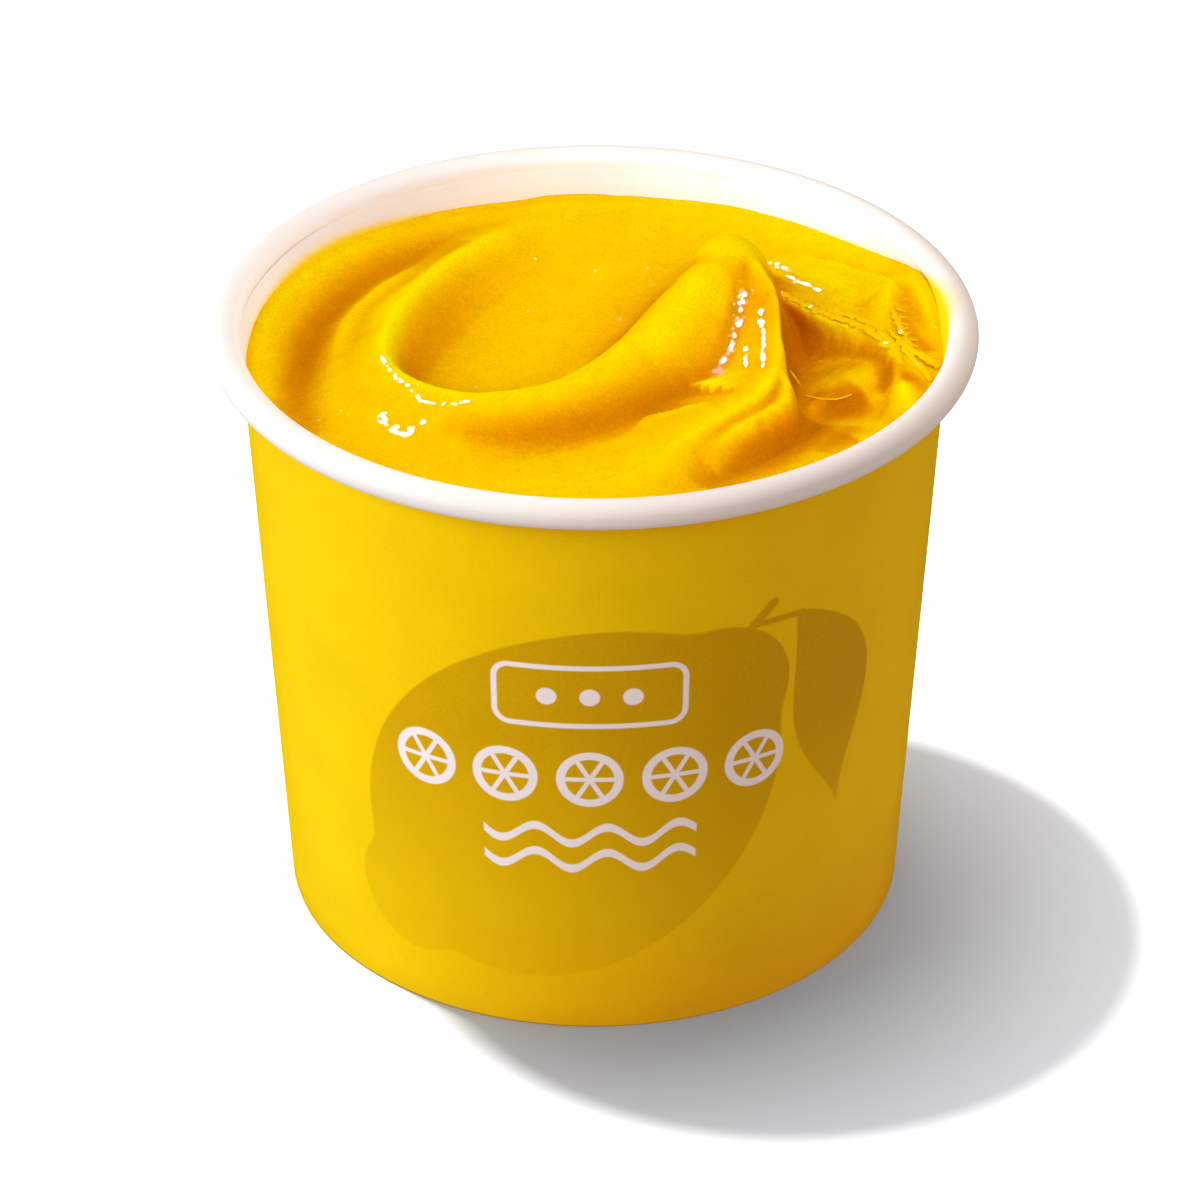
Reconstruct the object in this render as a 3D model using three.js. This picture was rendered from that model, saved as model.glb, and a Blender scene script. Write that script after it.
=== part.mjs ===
// Sorbet cup: a single-wall paperboard cup with a rolled rim and a recessed base,
// filled with a sorbet whose surface has been swirled by a spoon.
// Millimetres, +Z up. The origin is the centre of the ring that the cup stands on.
import * as THREE from 'three';

// ---- Cup, driving dimensions -------------------------------------------------------
const CUP_HEIGHT = 62.24;
const RIM_DIAMETER = 74.0;
const FOOT_DIAMETER = 61.3;
const BOARD = 0.35;                 // thickness of the paperboard
const ROLL_WIDTH = 2.98;            // the curled rim's section, across and up
const ROLL_HEIGHT = 2.84;
const ROLL_GAP = 0.34;              // between the end of the curl and the wall it turns back to
const WALL_SLOPE = 0.0572;          // growth of the radius for each millimetre of height
const FLARE_START = 58.8;           // the wall opens slightly above this height, into the curl
const FOOT_CHAMFER = 0.25;
const CLEARANCE = 0.3;              // between pieces that touch in the real cup

const BASE_HEIGHT = 5.6;            // underside of the base disc above the foot
const HEM_HEIGHT = 4.4;             // the wall's lower edge, folded up inside the base's skirt
const SKIRT_BOTTOM = 0.8;

// ---- Sorbet, driving dimensions ----------------------------------------------------
const SORBET_LEVEL = 57.1;          // general height of the surface
const HOLLOW = { x: -8.0, y: 3.0, floor: 55.7, spanX: 12.0, spanY: 13.0, riseX: 0.8, riseY: 0.9 };
const BACK_SHELF = { x: 2.0, y: 27.0, spanX: 12.0, spanY: 6.0, rise: 0.9 };
const PIT = { x: 20.0, y: 6.0, floor: 54.2, eastSlope: 0.14, frontSlope: 0.11, backSlope: 1.5, westSlope: 1.2 };
const PIT_FLAT = 2.5;               // how far the pit's floor runs on west of its deepest line
const PIT_MOUND = { x: 23.2, y: -3.4, spanX: 4.2, spanY: 2.8, rise: 0.9 };
const TIP = { x: 13.2, y: 9.5, top: 65.1, half: 2.9, fallAtHalf: 1.2, power: 3 };

// Height of the surface along the wall: a level, and rises [direction in degrees, spread, rise].
const WALL_LEVEL = 56.6;
const WALL_RISES = [
  [5, 25, 4.9],
  [52, 30, 0.9],
  [145, 30, 2.1],
];

// Ridges and grooves, as paths through the places where they turn. Each row is
// [x, y, height along the line, slope to the left, slope to the right, rounding of the line],
// with left and right as seen along the path.
const SWIRL_CREST = [
  [-4.3, 25.5, 57.6, 0.25, 0.15, 2.5],
  [-12.1, 19.9, 58.6, 0.5, 0.8, 1.5],
  [-19.1, 11.0, 59.4, 0.8, 1.0, 1.3],
  [-20.5, 1.1, 59.7, 1.2, 0.75, 1.3],
  [-17.4, -8.0, 59.9, 1.7, 0.42, 1.4],
  [-11.1, -11.6, 60.1, 1.8, 0.5, 1.6],
  [-4.2, -10.4, 60.5, 1.8, 1.2, 2.6],
  [0.6, -7.2, 61.2, 1.9, 1.8, 4.2],
  [4.9, -2.3, 62.2, 2.1, 2.1, 5.0],
  [8.8, 3.6, 63.5, 2.3, 2.2, 5.4],
  [11.5, 7.6, 64.3, 2.5, 2.3, 5.6],
  [13.2, 9.6, 64.6, 2.6, 2.4, 5.6],
];
const LOBE_CREST = [
  [13.2, 9.6, 64.6, 2.8, 2.2, 5.2],
  [15.7, 7.0, 64.1, 2.6, 1.6, 2.4],
  [16.9, 2.6, 63.0, 2.5, 1.0, 1.2],
  [17.3, -2.5, 61.4, 2.4, 0.75, 1.0],
  [17.6, -6.6, 60.2, 2.2, 0.55, 1.2],
  [16.4, -11.2, 59.4, 1.8, 0.42, 1.5],
  [12.4, -15.6, 58.8, 1.5, 0.36, 1.6],
  [8.2, -18.9, 58.2, 1.0, 0.3, 1.8],
  [4.2, -22.6, 57.6, 0.6, 0.24, 2.2],
  [1.5, -26.2, 57.1, 0.3, 0.15, 3.0],
];
const TORN_LEDGE = [
  [9.0, 19.0, 56.8, 0.12, 0.15, 2.0],
  [13.5, 14.5, 58.6, 0.12, 0.5, 1.5],
  [16.4, 11.6, 59.2, 0.12, 1.5, 0.8],
  [17.9, 10.2, 59.3, 0.1, 2.4, 0.7],
  [20.3, 7.8, 59.3, 0.1, 2.4, 0.7],
  [22.6, 5.7, 59.2, 0.08, 2.4, 0.7],
  [26.8, 2.3, 59.0, 0.06, 2.4, 0.7],
  [28.6, -0.8, 58.8, 0.06, 2.2, 0.7],
  [29.3, -4.7, 58.5, 0.15, 1.8, 0.7],
  [30.0, -8.5, 57.8, 0.3, 0.9, 0.7],
  [31.3, -12.5, 57.2, 0.2, 0.5, 1.0],
];
const WALL_GROOVE = [
  [-12.0, 27.8, 57.2, 0.6, 0.6, 1.0],
  [-17.3, 24.6, 55.9, 0.9, 1.2, 1.0],
  [-20.3, 22.3, 55.5, 1.0, 1.5, 1.0],
  [-23.3, 18.6, 55.2, 1.0, 1.6, 1.0],
  [-26.2, 14.5, 55.0, 1.0, 1.7, 1.0],
  [-27.8, 9.4, 54.9, 1.0, 1.6, 1.0],
  [-28.3, 3.8, 55.1, 0.9, 1.3, 1.0],
  [-28.0, -1.6, 55.4, 0.8, 0.9, 1.0],
  [-27.3, -7.6, 55.9, 0.5, 0.6, 1.4],
  [-24.8, -13.6, 56.7, 0.25, 0.3, 2.0],
];
const FRONT_TROUGH = [
  [29.0, -6.5, 56.8, 0.25, 0.4, 1.2],
  [25.6, -7.9, 55.8, 0.2, 1.6, 0.8],
  [21.5, -8.9, 55.1, 0.2, 2.0, 0.8],
  [19.4, -12.2, 54.9, 0.2, 2.0, 0.8],
  [16.4, -16.0, 55.1, 0.18, 1.4, 0.8],
  [12.5, -19.2, 55.6, 0.15, 0.9, 1.0],
  [8.0, -24.0, 56.5, 0.12, 0.3, 1.6],
];

// Widths, in millimetres of height, over which one form runs into the next.
const BLEND = { groove: 0.8, hollow: 1.0, pit: 0.8, ledge: 0.5, swirl: 1.4, lobe: 1.4, tip: 1.0 };

// ---- Fineness of the meshes --------------------------------------------------------
const CUP_SIDES = 80;
const ROLL_STEPS = 11;
const SORBET_SIDES = 120;
const SORBET_RINGS = 30;
const RING_CROWDING = 0.85;         // below 1 the rings crowd towards the wall
const SIDE_CROWDING = { towards: 0.2, share: 0.35 };  // the sides crowd round this direction
const STEPS_PER_SPAN = 12;

// ---- Colours -----------------------------------------------------------------------
const PRINTED_YELLOW = 0xf0cc04;
const UNPRINTED_WHITE = 0xf4ece6;
const SORBET_YELLOW = 0xfad002;

// ---- Cup ---------------------------------------------------------------------------
const wallRadius = (z) => FOOT_DIAMETER / 2 + WALL_SLOPE * z;
const innerRadius = (z) => wallRadius(z) - BOARD;

const roll = {
  radius: (RIM_DIAMETER - ROLL_WIDTH) / 2,
  height: CUP_HEIGHT - ROLL_HEIGHT / 2,
};

/** A point of the curl's section, `inset` inside its outer face. */
function rollPoint(angle, inset) {
  const across = (ROLL_WIDTH / 2 - inset) * Math.cos(angle);
  const up = (ROLL_HEIGHT / 2 - inset) * Math.sin(angle);
  return new THREE.Vector2(roll.radius + across, roll.height + up);
}

/** The angle at which the curl stops, one gap short of the wall it turns back to. */
function rollEndAngle() {
  let angle = -Math.PI / 2;
  const step = Math.PI / 360;
  while (rollPoint(angle, 0).x - wallRadius(rollPoint(angle, 0).y) > ROLL_GAP) {
    angle -= step;
  }
  return angle;
}

/** The curl's points from the wall side, over the top and down the outside to its end. */
function curl(inset) {
  const start = Math.PI;
  const end = rollEndAngle();
  const points = [];
  for (let i = 0; i <= ROLL_STEPS; i += 1) {
    points.push(rollPoint(start + ((end - start) * i) / ROLL_STEPS, inset));
  }
  return points;
}

/** Layers at the foot, from outside: the wall, the base's skirt, and the wall's hem. */
const foot = {
  skirtOuter: innerRadius(0) - CLEARANCE,
  skirtInner: innerRadius(0) - CLEARANCE - BOARD,
  hemOuter: innerRadius(0) - 2 * CLEARANCE - BOARD,
  hemInner: innerRadius(0) - 2 * CLEARANCE - 2 * BOARD,
};

function wallProfile() {
  const vec = (x, y) => new THREE.Vector2(x, y);
  const outside = [
    vec(wallRadius(0) - FOOT_CHAMFER, 0),
    vec(wallRadius(FOOT_CHAMFER), FOOT_CHAMFER),
    vec(wallRadius(FLARE_START), FLARE_START),
  ];
  const inside = [
    vec(innerRadius(FLARE_START), FLARE_START),
    vec(innerRadius(BOARD), BOARD),
  ];
  const hem = [
    vec(foot.hemOuter, BOARD),
    vec(foot.hemOuter, HEM_HEIGHT),
    vec(foot.hemInner, HEM_HEIGHT),
    vec(foot.hemInner, FOOT_CHAMFER),
    vec(foot.hemInner + FOOT_CHAMFER, 0),
  ];
  const profile = [...outside, ...curl(BOARD), ...curl(0).reverse(), ...inside, ...hem];
  profile.push(profile[0].clone());
  return profile;
}

function baseProfile() {
  const vec = (x, y) => new THREE.Vector2(x, y);
  const top = BASE_HEIGHT + BOARD;
  return [
    vec(0, BASE_HEIGHT),
    vec(foot.skirtInner, BASE_HEIGHT),
    vec(foot.skirtInner, SKIRT_BOTTOM),
    vec(foot.skirtOuter, SKIRT_BOTTOM),
    vec(foot.skirtOuter, top - BOARD / 2),
    vec(foot.skirtOuter - BOARD / 2, top),
    vec(0, top),
  ];
}

/** A body of revolution about +Z. */
function turned(name, profile, color, roughness) {
  const geometry = new THREE.LatheGeometry(profile, CUP_SIDES);
  const material = new THREE.MeshStandardMaterial({ color, roughness, metalness: 0 });
  const mesh = new THREE.Mesh(geometry, material);
  mesh.name = name;
  mesh.rotation.x = Math.PI / 2;
  return mesh;
}

// ---- Sorbet ------------------------------------------------------------------------
const lerp = THREE.MathUtils.lerp;
const smoothstep = THREE.MathUtils.smoothstep;

/** The larger of two heights, with the corner between them rounded over `width`. */
function softMax(a, b, width) {
  const overlap = Math.max(width - Math.abs(a - b), 0) / width;
  return Math.max(a, b) + (overlap * overlap * width) / 4;
}

const softMin = (a, b, width) => -softMax(-a, -b, width);

/** A round bump of height 1 at a place. */
function bump(place, x, y) {
  const u = (x - place.x) / place.spanX;
  const v = (y - place.y) / place.spanY;
  return place.rise * Math.exp(-u * u - v * v);
}

/** Samples a path of rows, smooth in plan and height, straight between rows otherwise. */
function samplePath(rows) {
  const places = rows.map(([x, y, z]) => new THREE.Vector3(x, y, z));
  const curve = new THREE.CatmullRomCurve3(places, false, 'catmullrom', 0.5);
  const spans = rows.length - 1;
  const samples = [];
  for (let i = 0; i <= spans * STEPS_PER_SPAN; i += 1) {
    const t = i / STEPS_PER_SPAN;
    const row = Math.min(Math.floor(t), spans - 1);
    const point = curve.getPoint(i / (spans * STEPS_PER_SPAN));
    const mixed = (column) => lerp(rows[row][column], rows[row + 1][column], t - row);
    samples.push({ x: point.x, y: point.y, z: point.z, left: mixed(3), right: mixed(4), round: mixed(5) });
  }
  return samples;
}

/** The nearest place on a sampled path; `aside` is positive on the path's left. */
function nearest(samples, x, y) {
  let best = { square: Infinity };
  for (let i = 0; i + 1 < samples.length; i += 1) {
    const a = samples[i];
    const b = samples[i + 1];
    const dx = b.x - a.x;
    const dy = b.y - a.y;
    const along = ((x - a.x) * dx + (y - a.y) * dy) / (dx * dx + dy * dy);
    const t = THREE.MathUtils.clamp(along, 0, 1);
    const ex = x - a.x - t * dx;
    const ey = y - a.y - t * dy;
    const square = ex * ex + ey * ey;
    if (square < best.square) {
      best = { square, a, b, t, side: dx * ey - dy * ex < 0 ? -1 : 1 };
    }
  }
  const { a, b, t } = best;
  return {
    aside: best.side * Math.sqrt(best.square),
    z: lerp(a.z, b.z, t),
    left: lerp(a.left, b.left, t),
    right: lerp(a.right, b.right, t),
    round: lerp(a.round, b.round, t),
  };
}

const SIDE_CHANGE = 0.8;            // half the width over which one side's slope becomes the other's

/** Height above or below a path's line at a place, rounded at the line itself. */
function fall(near) {
  const leftShare = smoothstep(near.aside, -SIDE_CHANGE, SIDE_CHANGE);
  const slope = lerp(near.right, near.left, leftShare);
  return slope * (Math.hypot(near.aside, near.round) - near.round);
}

const swirl = samplePath(SWIRL_CREST);
const lobe = samplePath(LOBE_CREST);
const ledge = samplePath(TORN_LEDGE);
const grooves = [WALL_GROOVE, FRONT_TROUGH].map(samplePath);

const ridge = (samples, x, y) => {
  const near = nearest(samples, x, y);
  return near.z - fall(near);
};

/** Height of the surface where it meets the wall, in the direction `angle`. */
function wallLevel(angle) {
  const degrees = THREE.MathUtils.radToDeg(angle);
  return WALL_RISES.reduce((level, [direction, spread, rise]) => {
    const turn = THREE.MathUtils.euclideanModulo(degrees - direction + 180, 360) - 180;
    return level + rise * Math.exp(-((turn / spread) ** 2));
  }, WALL_LEVEL);
}

const WALL_BAND = [22.0, 33.2];     // radii between which the surface leaves its level for the wall's

/** Height of the pit's floor, with the mound in it. */
function pitFloor(x, y) {
  const east = PIT.eastSlope * Math.max(x - PIT.x, 0);
  const west = PIT.westSlope * Math.max(PIT.x - PIT_FLAT - x, 0);
  const front = PIT.frontSlope * Math.max(PIT.y - y, 0);
  return PIT.floor + east + west + front + bump(PIT_MOUND, x, y);
}

/** Height of the blunt end in which the swirl stops. */
function tipHeight(x, y) {
  const away = Math.hypot(x - TIP.x, y - TIP.y) / TIP.half;
  return TIP.top - TIP.fallAtHalf * away ** TIP.power;
}

/** Height of the sorbet's surface at a place. */
function surfaceHeight(x, y) {
  const share = smoothstep(Math.hypot(x, y), WALL_BAND[0], WALL_BAND[1]);
  let z = lerp(SORBET_LEVEL, wallLevel(Math.atan2(y, x)), share);

  for (const groove of grooves) {
    const channel = nearest(groove, x, y);
    z = softMin(z, channel.z + fall(channel), BLEND.groove);
  }
  z += bump(BACK_SHELF, x, y);

  const across = (x - HOLLOW.x) / HOLLOW.spanX;
  const along = (y - HOLLOW.y) / HOLLOW.spanY;
  const bowl = HOLLOW.floor + HOLLOW.riseX * across ** 2 + HOLLOW.riseY * along ** 2;
  z = softMin(z, bowl, BLEND.hollow);

  const edge = nearest(ledge, x, y);
  z = softMin(z, pitFloor(x, y) + PIT.backSlope * Math.max(edge.aside, 0), BLEND.pit);

  z = softMax(z, edge.z - fall(edge), BLEND.ledge);
  z = softMax(z, ridge(swirl, x, y), BLEND.swirl);
  z = softMax(z, ridge(lobe, x, y), BLEND.lobe);
  return softMax(z, tipHeight(x, y), BLEND.tip);
}

/** One closed body: the swirled surface, the side along the wall, and a flat underside. */
function sorbetGeometry() {
  const positions = [];
  const indices = [];
  const bottom = BASE_HEIGHT + BOARD + CLEARANCE;
  const addPoint = (x, y, z) => positions.push(x, y, z) / 3 - 1;
  const directions = Array.from({ length: SORBET_SIDES }, (_, i) => {
    const even = (2 * Math.PI * i) / SORBET_SIDES;
    return even - SIDE_CROWDING.share * Math.sin(even - SIDE_CROWDING.towards);
  });
  const addRing = (radiusAt, heightAt) => directions.map((angle) => {
    const x = radiusAt(angle) * Math.cos(angle);
    const y = radiusAt(angle) * Math.sin(angle);
    return addPoint(x, y, heightAt(x, y));
  });
  const heightOf = (point) => positions[3 * point + 2];
  const step = (a, b) => Math.abs(heightOf(a) - heightOf(b));
  // Each cell is cut along its flatter diagonal, so that edges run along the ridges.
  const joinRings = (outer, inner) => {
    for (let i = 0; i < SORBET_SIDES; i += 1) {
      const j = (i + 1) % SORBET_SIDES;
      if (step(inner[i], outer[j]) <= step(inner[j], outer[i])) {
        indices.push(inner[i], outer[i], outer[j], inner[i], outer[j], inner[j]);
      } else {
        indices.push(inner[i], outer[i], inner[j], inner[j], outer[i], outer[j]);
      }
    }
  };
  const fan = (centre, ring, flipped) => {
    for (let i = 0; i < SORBET_SIDES; i += 1) {
      const j = (i + 1) % SORBET_SIDES;
      indices.push(centre, flipped ? ring[j] : ring[i], flipped ? ring[i] : ring[j]);
    }
  };

  let inner = null;
  for (let i = 1; i <= SORBET_RINGS; i += 1) {
    const share = (i / SORBET_RINGS) ** RING_CROWDING;
    const radiusAt = (angle) => share * (innerRadius(wallLevel(angle)) - CLEARANCE);
    const ring = addRing(radiusAt, surfaceHeight);
    if (inner) {
      joinRings(ring, inner);
    } else {
      fan(addPoint(0, 0, surfaceHeight(0, 0)), ring, false);
    }
    inner = ring;
  }
  const lowest = addRing(() => innerRadius(bottom) - CLEARANCE, () => bottom);
  joinRings(lowest, inner);
  fan(addPoint(0, 0, bottom), lowest, true);

  const geometry = new THREE.BufferGeometry();
  geometry.setAttribute('position', new THREE.Float32BufferAttribute(positions, 3));
  geometry.setIndex(indices);
  geometry.computeVertexNormals();
  return geometry;
}

function sorbetMesh() {
  const material = new THREE.MeshStandardMaterial({ color: SORBET_YELLOW, roughness: 0.35, metalness: 0 });
  const mesh = new THREE.Mesh(sorbetGeometry(), material);
  mesh.name = 'sorbet';
  return mesh;
}

// ---- Assembly ----------------------------------------------------------------------
const cup = new THREE.Group();
cup.add(turned('cup_wall', wallProfile(), PRINTED_YELLOW, 0.55));
cup.add(turned('cup_base', baseProfile(), UNPRINTED_WHITE, 0.7));
cup.add(sorbetMesh());

export default cup;
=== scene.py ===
"""Sorbet cup: a printed paperboard cup with a rolled rim, filled with a spoon-swirled sorbet.

Each sub-assembly is a class that builds its meshes in the frame's own space (metres, +Z up, the
printed front towards -Y) and dresses them with finishes that are named for what they are made of.
"""
import logging
import math
from collections.abc import Callable, Mapping, Sequence
from dataclasses import dataclass, field
from enum import Enum
from functools import partial
from typing import Any

import bpy
import numpy as np
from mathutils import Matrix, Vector


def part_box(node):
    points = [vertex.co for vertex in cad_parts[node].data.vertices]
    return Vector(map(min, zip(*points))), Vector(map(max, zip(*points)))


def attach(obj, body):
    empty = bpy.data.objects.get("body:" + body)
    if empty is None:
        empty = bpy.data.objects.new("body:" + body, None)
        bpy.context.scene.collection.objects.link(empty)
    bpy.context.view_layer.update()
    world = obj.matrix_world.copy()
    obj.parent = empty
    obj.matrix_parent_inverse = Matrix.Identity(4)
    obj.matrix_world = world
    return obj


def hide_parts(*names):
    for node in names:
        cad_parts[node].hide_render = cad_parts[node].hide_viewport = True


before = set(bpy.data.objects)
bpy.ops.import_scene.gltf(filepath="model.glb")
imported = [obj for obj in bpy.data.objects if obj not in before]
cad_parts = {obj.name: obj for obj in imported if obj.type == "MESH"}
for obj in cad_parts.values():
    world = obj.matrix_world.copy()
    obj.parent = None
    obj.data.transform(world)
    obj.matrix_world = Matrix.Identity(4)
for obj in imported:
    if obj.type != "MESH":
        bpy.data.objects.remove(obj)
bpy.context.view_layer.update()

logging.basicConfig(level=logging.INFO, format="%(name)s: %(message)s")
log = logging.getLogger("sorbet_cup")

MM = 0.001
TURN = 2 * math.pi
Array = np.ndarray
Value = Any
Adder = Callable[..., bpy.types.Node]
Place = tuple[float, float]
Point = tuple[float, float, float]
Ramp = tuple[float, float, float, float]
Inputs = Mapping[str, Value] | Sequence[Value]


class Slot(Enum):
    """Names of the material slots, one for each kind of piece."""

    WALL = "cup_wall"
    BASE = "cup_base"
    SORBET = "sorbet"


class Lit(Enum):
    """What a lamp shines on, as the names of the pieces."""

    PAPER = ("printed_cup_wall", "recessed_base")
    LINING = ("printed_cup_wall",)
    SORBET = ("swirled_sorbet", "torn_shreds")
    FLOOR = ("floor",)


class Shine(Enum):
    """Whether a lamp shades what it shines on, or only shows as a mirror image in wet film."""

    SHADES = "shades"
    MIRRORED = "mirrored"


# ---- Small tools ---------------------------------------------------------------------


def linear(code: str) -> tuple[float, float, float, float]:
    """Turns an sRGB hex colour into linear RGBA.

    Args:
        code: Six hex digits.

    Returns:
        The colour as Blender's sockets take it, with an alpha of 1.
    """
    channels = [int(code[i:i + 2], 16) / 255 for i in (0, 2, 4)]
    curve = [c / 12.92 if c <= 0.04045 else ((c + 0.055) / 1.055) ** 2.4 for c in channels]
    return (*curve, 1.0)


def fill(material: bpy.types.Material, node: bpy.types.Node, inputs: Inputs) -> None:
    """Sets and links the inputs of a node.

    Args:
        material: The material whose tree holds the node.
        node: The node.
        inputs: What goes into each socket, by name or in the sockets' order: a value, an output
            socket, or a node, which stands for its first output.
    """
    for key, value in inputs.items() if isinstance(inputs, dict) else enumerate(inputs):
        source = value.outputs[0] if isinstance(value, bpy.types.Node) else value
        if isinstance(source, bpy.types.NodeSocket):
            material.node_tree.links.new(source, node.inputs[key])
        else:
            node.inputs[key].default_value = source


def add_node(
    material: bpy.types.Material, kind: str, inputs: Inputs = (), **settings: Value
) -> bpy.types.Node:
    """Adds a node to a material, with its settings and the links and values of its inputs.

    Args:
        material: The material whose tree takes the node.
        kind: The node's class, without the leading "ShaderNode".
        inputs: What goes into its sockets, as `fill` takes it.
        settings: Properties of the node itself.

    Returns:
        The new node.
    """
    node = material.node_tree.nodes.new("ShaderNode" + kind)
    for name, value in settings.items():
        setattr(node, name, value)
    fill(material, node, inputs)
    return node


def new_material(name: str) -> tuple[bpy.types.Material, bpy.types.Node]:
    """Makes an empty node material with its shader.

    Args:
        name: The material's name.

    Returns:
        The material and its Principled shader, already linked to the output.
    """
    material = bpy.data.materials.new(name)
    material.use_nodes = True
    material.node_tree.nodes.clear()
    shader = add_node(material, "BsdfPrincipled")
    add_node(material, "OutputMaterial", (shader,))
    return material, shader


def smoothstep(value: Array, low: float, high: float) -> Array:
    """Eases from 0 at `low` to 1 at `high`."""
    t = np.clip((value - low) / (high - low), 0, 1)
    return t * t * (3 - 2 * t)


def soft_max(a: Array, b: Array, width: float) -> Array:
    """The larger of two heights, with the corner between them rounded over `width`."""
    overlap = np.maximum(width - np.abs(a - b), 0) / width
    return np.maximum(a, b) + overlap * overlap * width / 4


def soft_min(a: Array, b: Array, width: float) -> Array:
    """The smaller of two heights, with the corner between them rounded over `width`."""
    return -soft_max(-a, -b, width)


def noise(x: Array, y: Array, seed: int) -> Array:
    """Smooth seeded value noise between -1 and 1, with features one unit apart.

    Args:
        x: First coordinate.
        y: Second coordinate.
        seed: Which lattice of random values to use.

    Returns:
        The noise at each place.
    """
    side = 128
    lattice = np.random.default_rng(seed).uniform(-1, 1, (side, side))
    x0, y0 = np.floor(x), np.floor(y)
    u, v = x - x0, y - y0
    u, v = u * u * u * (u * (6 * u - 15) + 10), v * v * v * (v * (6 * v - 15) + 10)
    i, j = x0.astype(int) % side, y0.astype(int) % side
    i1, j1 = (i + 1) % side, (j + 1) % side
    low = lattice[i, j] * (1 - u) + lattice[i1, j] * u
    high = lattice[i, j1] * (1 - u) + lattice[i1, j1] * u
    return low * (1 - v) + high * v


def build_mesh(
    name: str,
    points: Array,
    faces: Sequence[Sequence[int]],
    materials: Sequence[bpy.types.Material],
    face_material: Sequence[int] | None = None,
) -> bpy.types.Object:
    """Makes a smooth-shaded mesh object from points in millimetres.

    Args:
        name: The object's name.
        points: One row of x, y, z for each vertex, in millimetres.
        faces: Vertex numbers of each face, counter-clockwise from outside.
        materials: The object's material slots.
        face_material: The slot of each face; all 0 if left out.

    Returns:
        The object, linked into the scene.
    """
    mesh = bpy.data.meshes.new(name)
    mesh.from_pydata((np.asarray(points) * MM).tolist(), [], [list(f) for f in faces])
    for material in materials:
        mesh.materials.append(material)
    if face_material is not None:
        mesh.polygons.foreach_set("material_index", np.asarray(face_material, dtype=np.int32))
    mesh.shade_smooth()
    mesh.update()
    made = bpy.data.objects.new(name, mesh)
    bpy.context.scene.collection.objects.link(made)
    return made


def store(made: bpy.types.Object, name: str, values: Array) -> None:
    """Keeps one number for each vertex as a named attribute that a material can read."""
    layer = made.data.attributes.new(name, "FLOAT", "POINT")
    layer.data.foreach_set("value", np.asarray(values, dtype=np.float32).ravel())


def settle(made: bpy.types.Object, slot: Slot, *nodes: str) -> bpy.types.Object:
    """Hangs a finished piece on the root body, hides the solids that it stands in for, and reports it."""
    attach(made, "root")
    if nodes:
        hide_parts(*nodes)
    log.info("%s: %d faces", made.name, len(made.data.polygons))
    return made


# ---- Sizes that the cup and the sorbet share ------------------------------------------


@dataclass(frozen=True)
class CupSizes:
    """The paperboard cup, in millimetres."""

    height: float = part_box("cup_wall")[1].z / MM
    rim_radius: float = 37.0
    foot_radius: float = 30.65
    board: float = 0.35
    roll_width: float = 2.98
    roll_height: float = 2.84
    wall_slope: float = 0.0572
    flare_start: float = 58.8
    base_height: float = 5.6
    hem_height: float = 4.4
    skirt_bottom: float = 0.5

    def outer(self, z: Array | float) -> Array | float:
        """Radius of the printed face at a height."""
        return self.foot_radius + self.wall_slope * z

    def inner(self, z: Array | float) -> Array | float:
        """Radius of the lining at a height."""
        return self.outer(z) - self.board

    def roll_point(self, angle: float, inset: float) -> tuple[float, float]:
        """A point of the curl's section, as radius and height.

        Args:
            angle: Direction from the section's middle, 0 pointing outwards.
            inset: Distance inside the curl's outer face.

        Returns:
            The radius and the height.
        """
        across = (self.roll_width / 2 - inset) * math.cos(angle)
        up = (self.roll_height / 2 - inset) * math.sin(angle)
        middle = self.rim_radius - self.roll_width / 2
        return middle + across, self.height - self.roll_height / 2 + up


CUP = CupSizes()


# ---- The swirled surface ----------------------------------------------------------------


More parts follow.
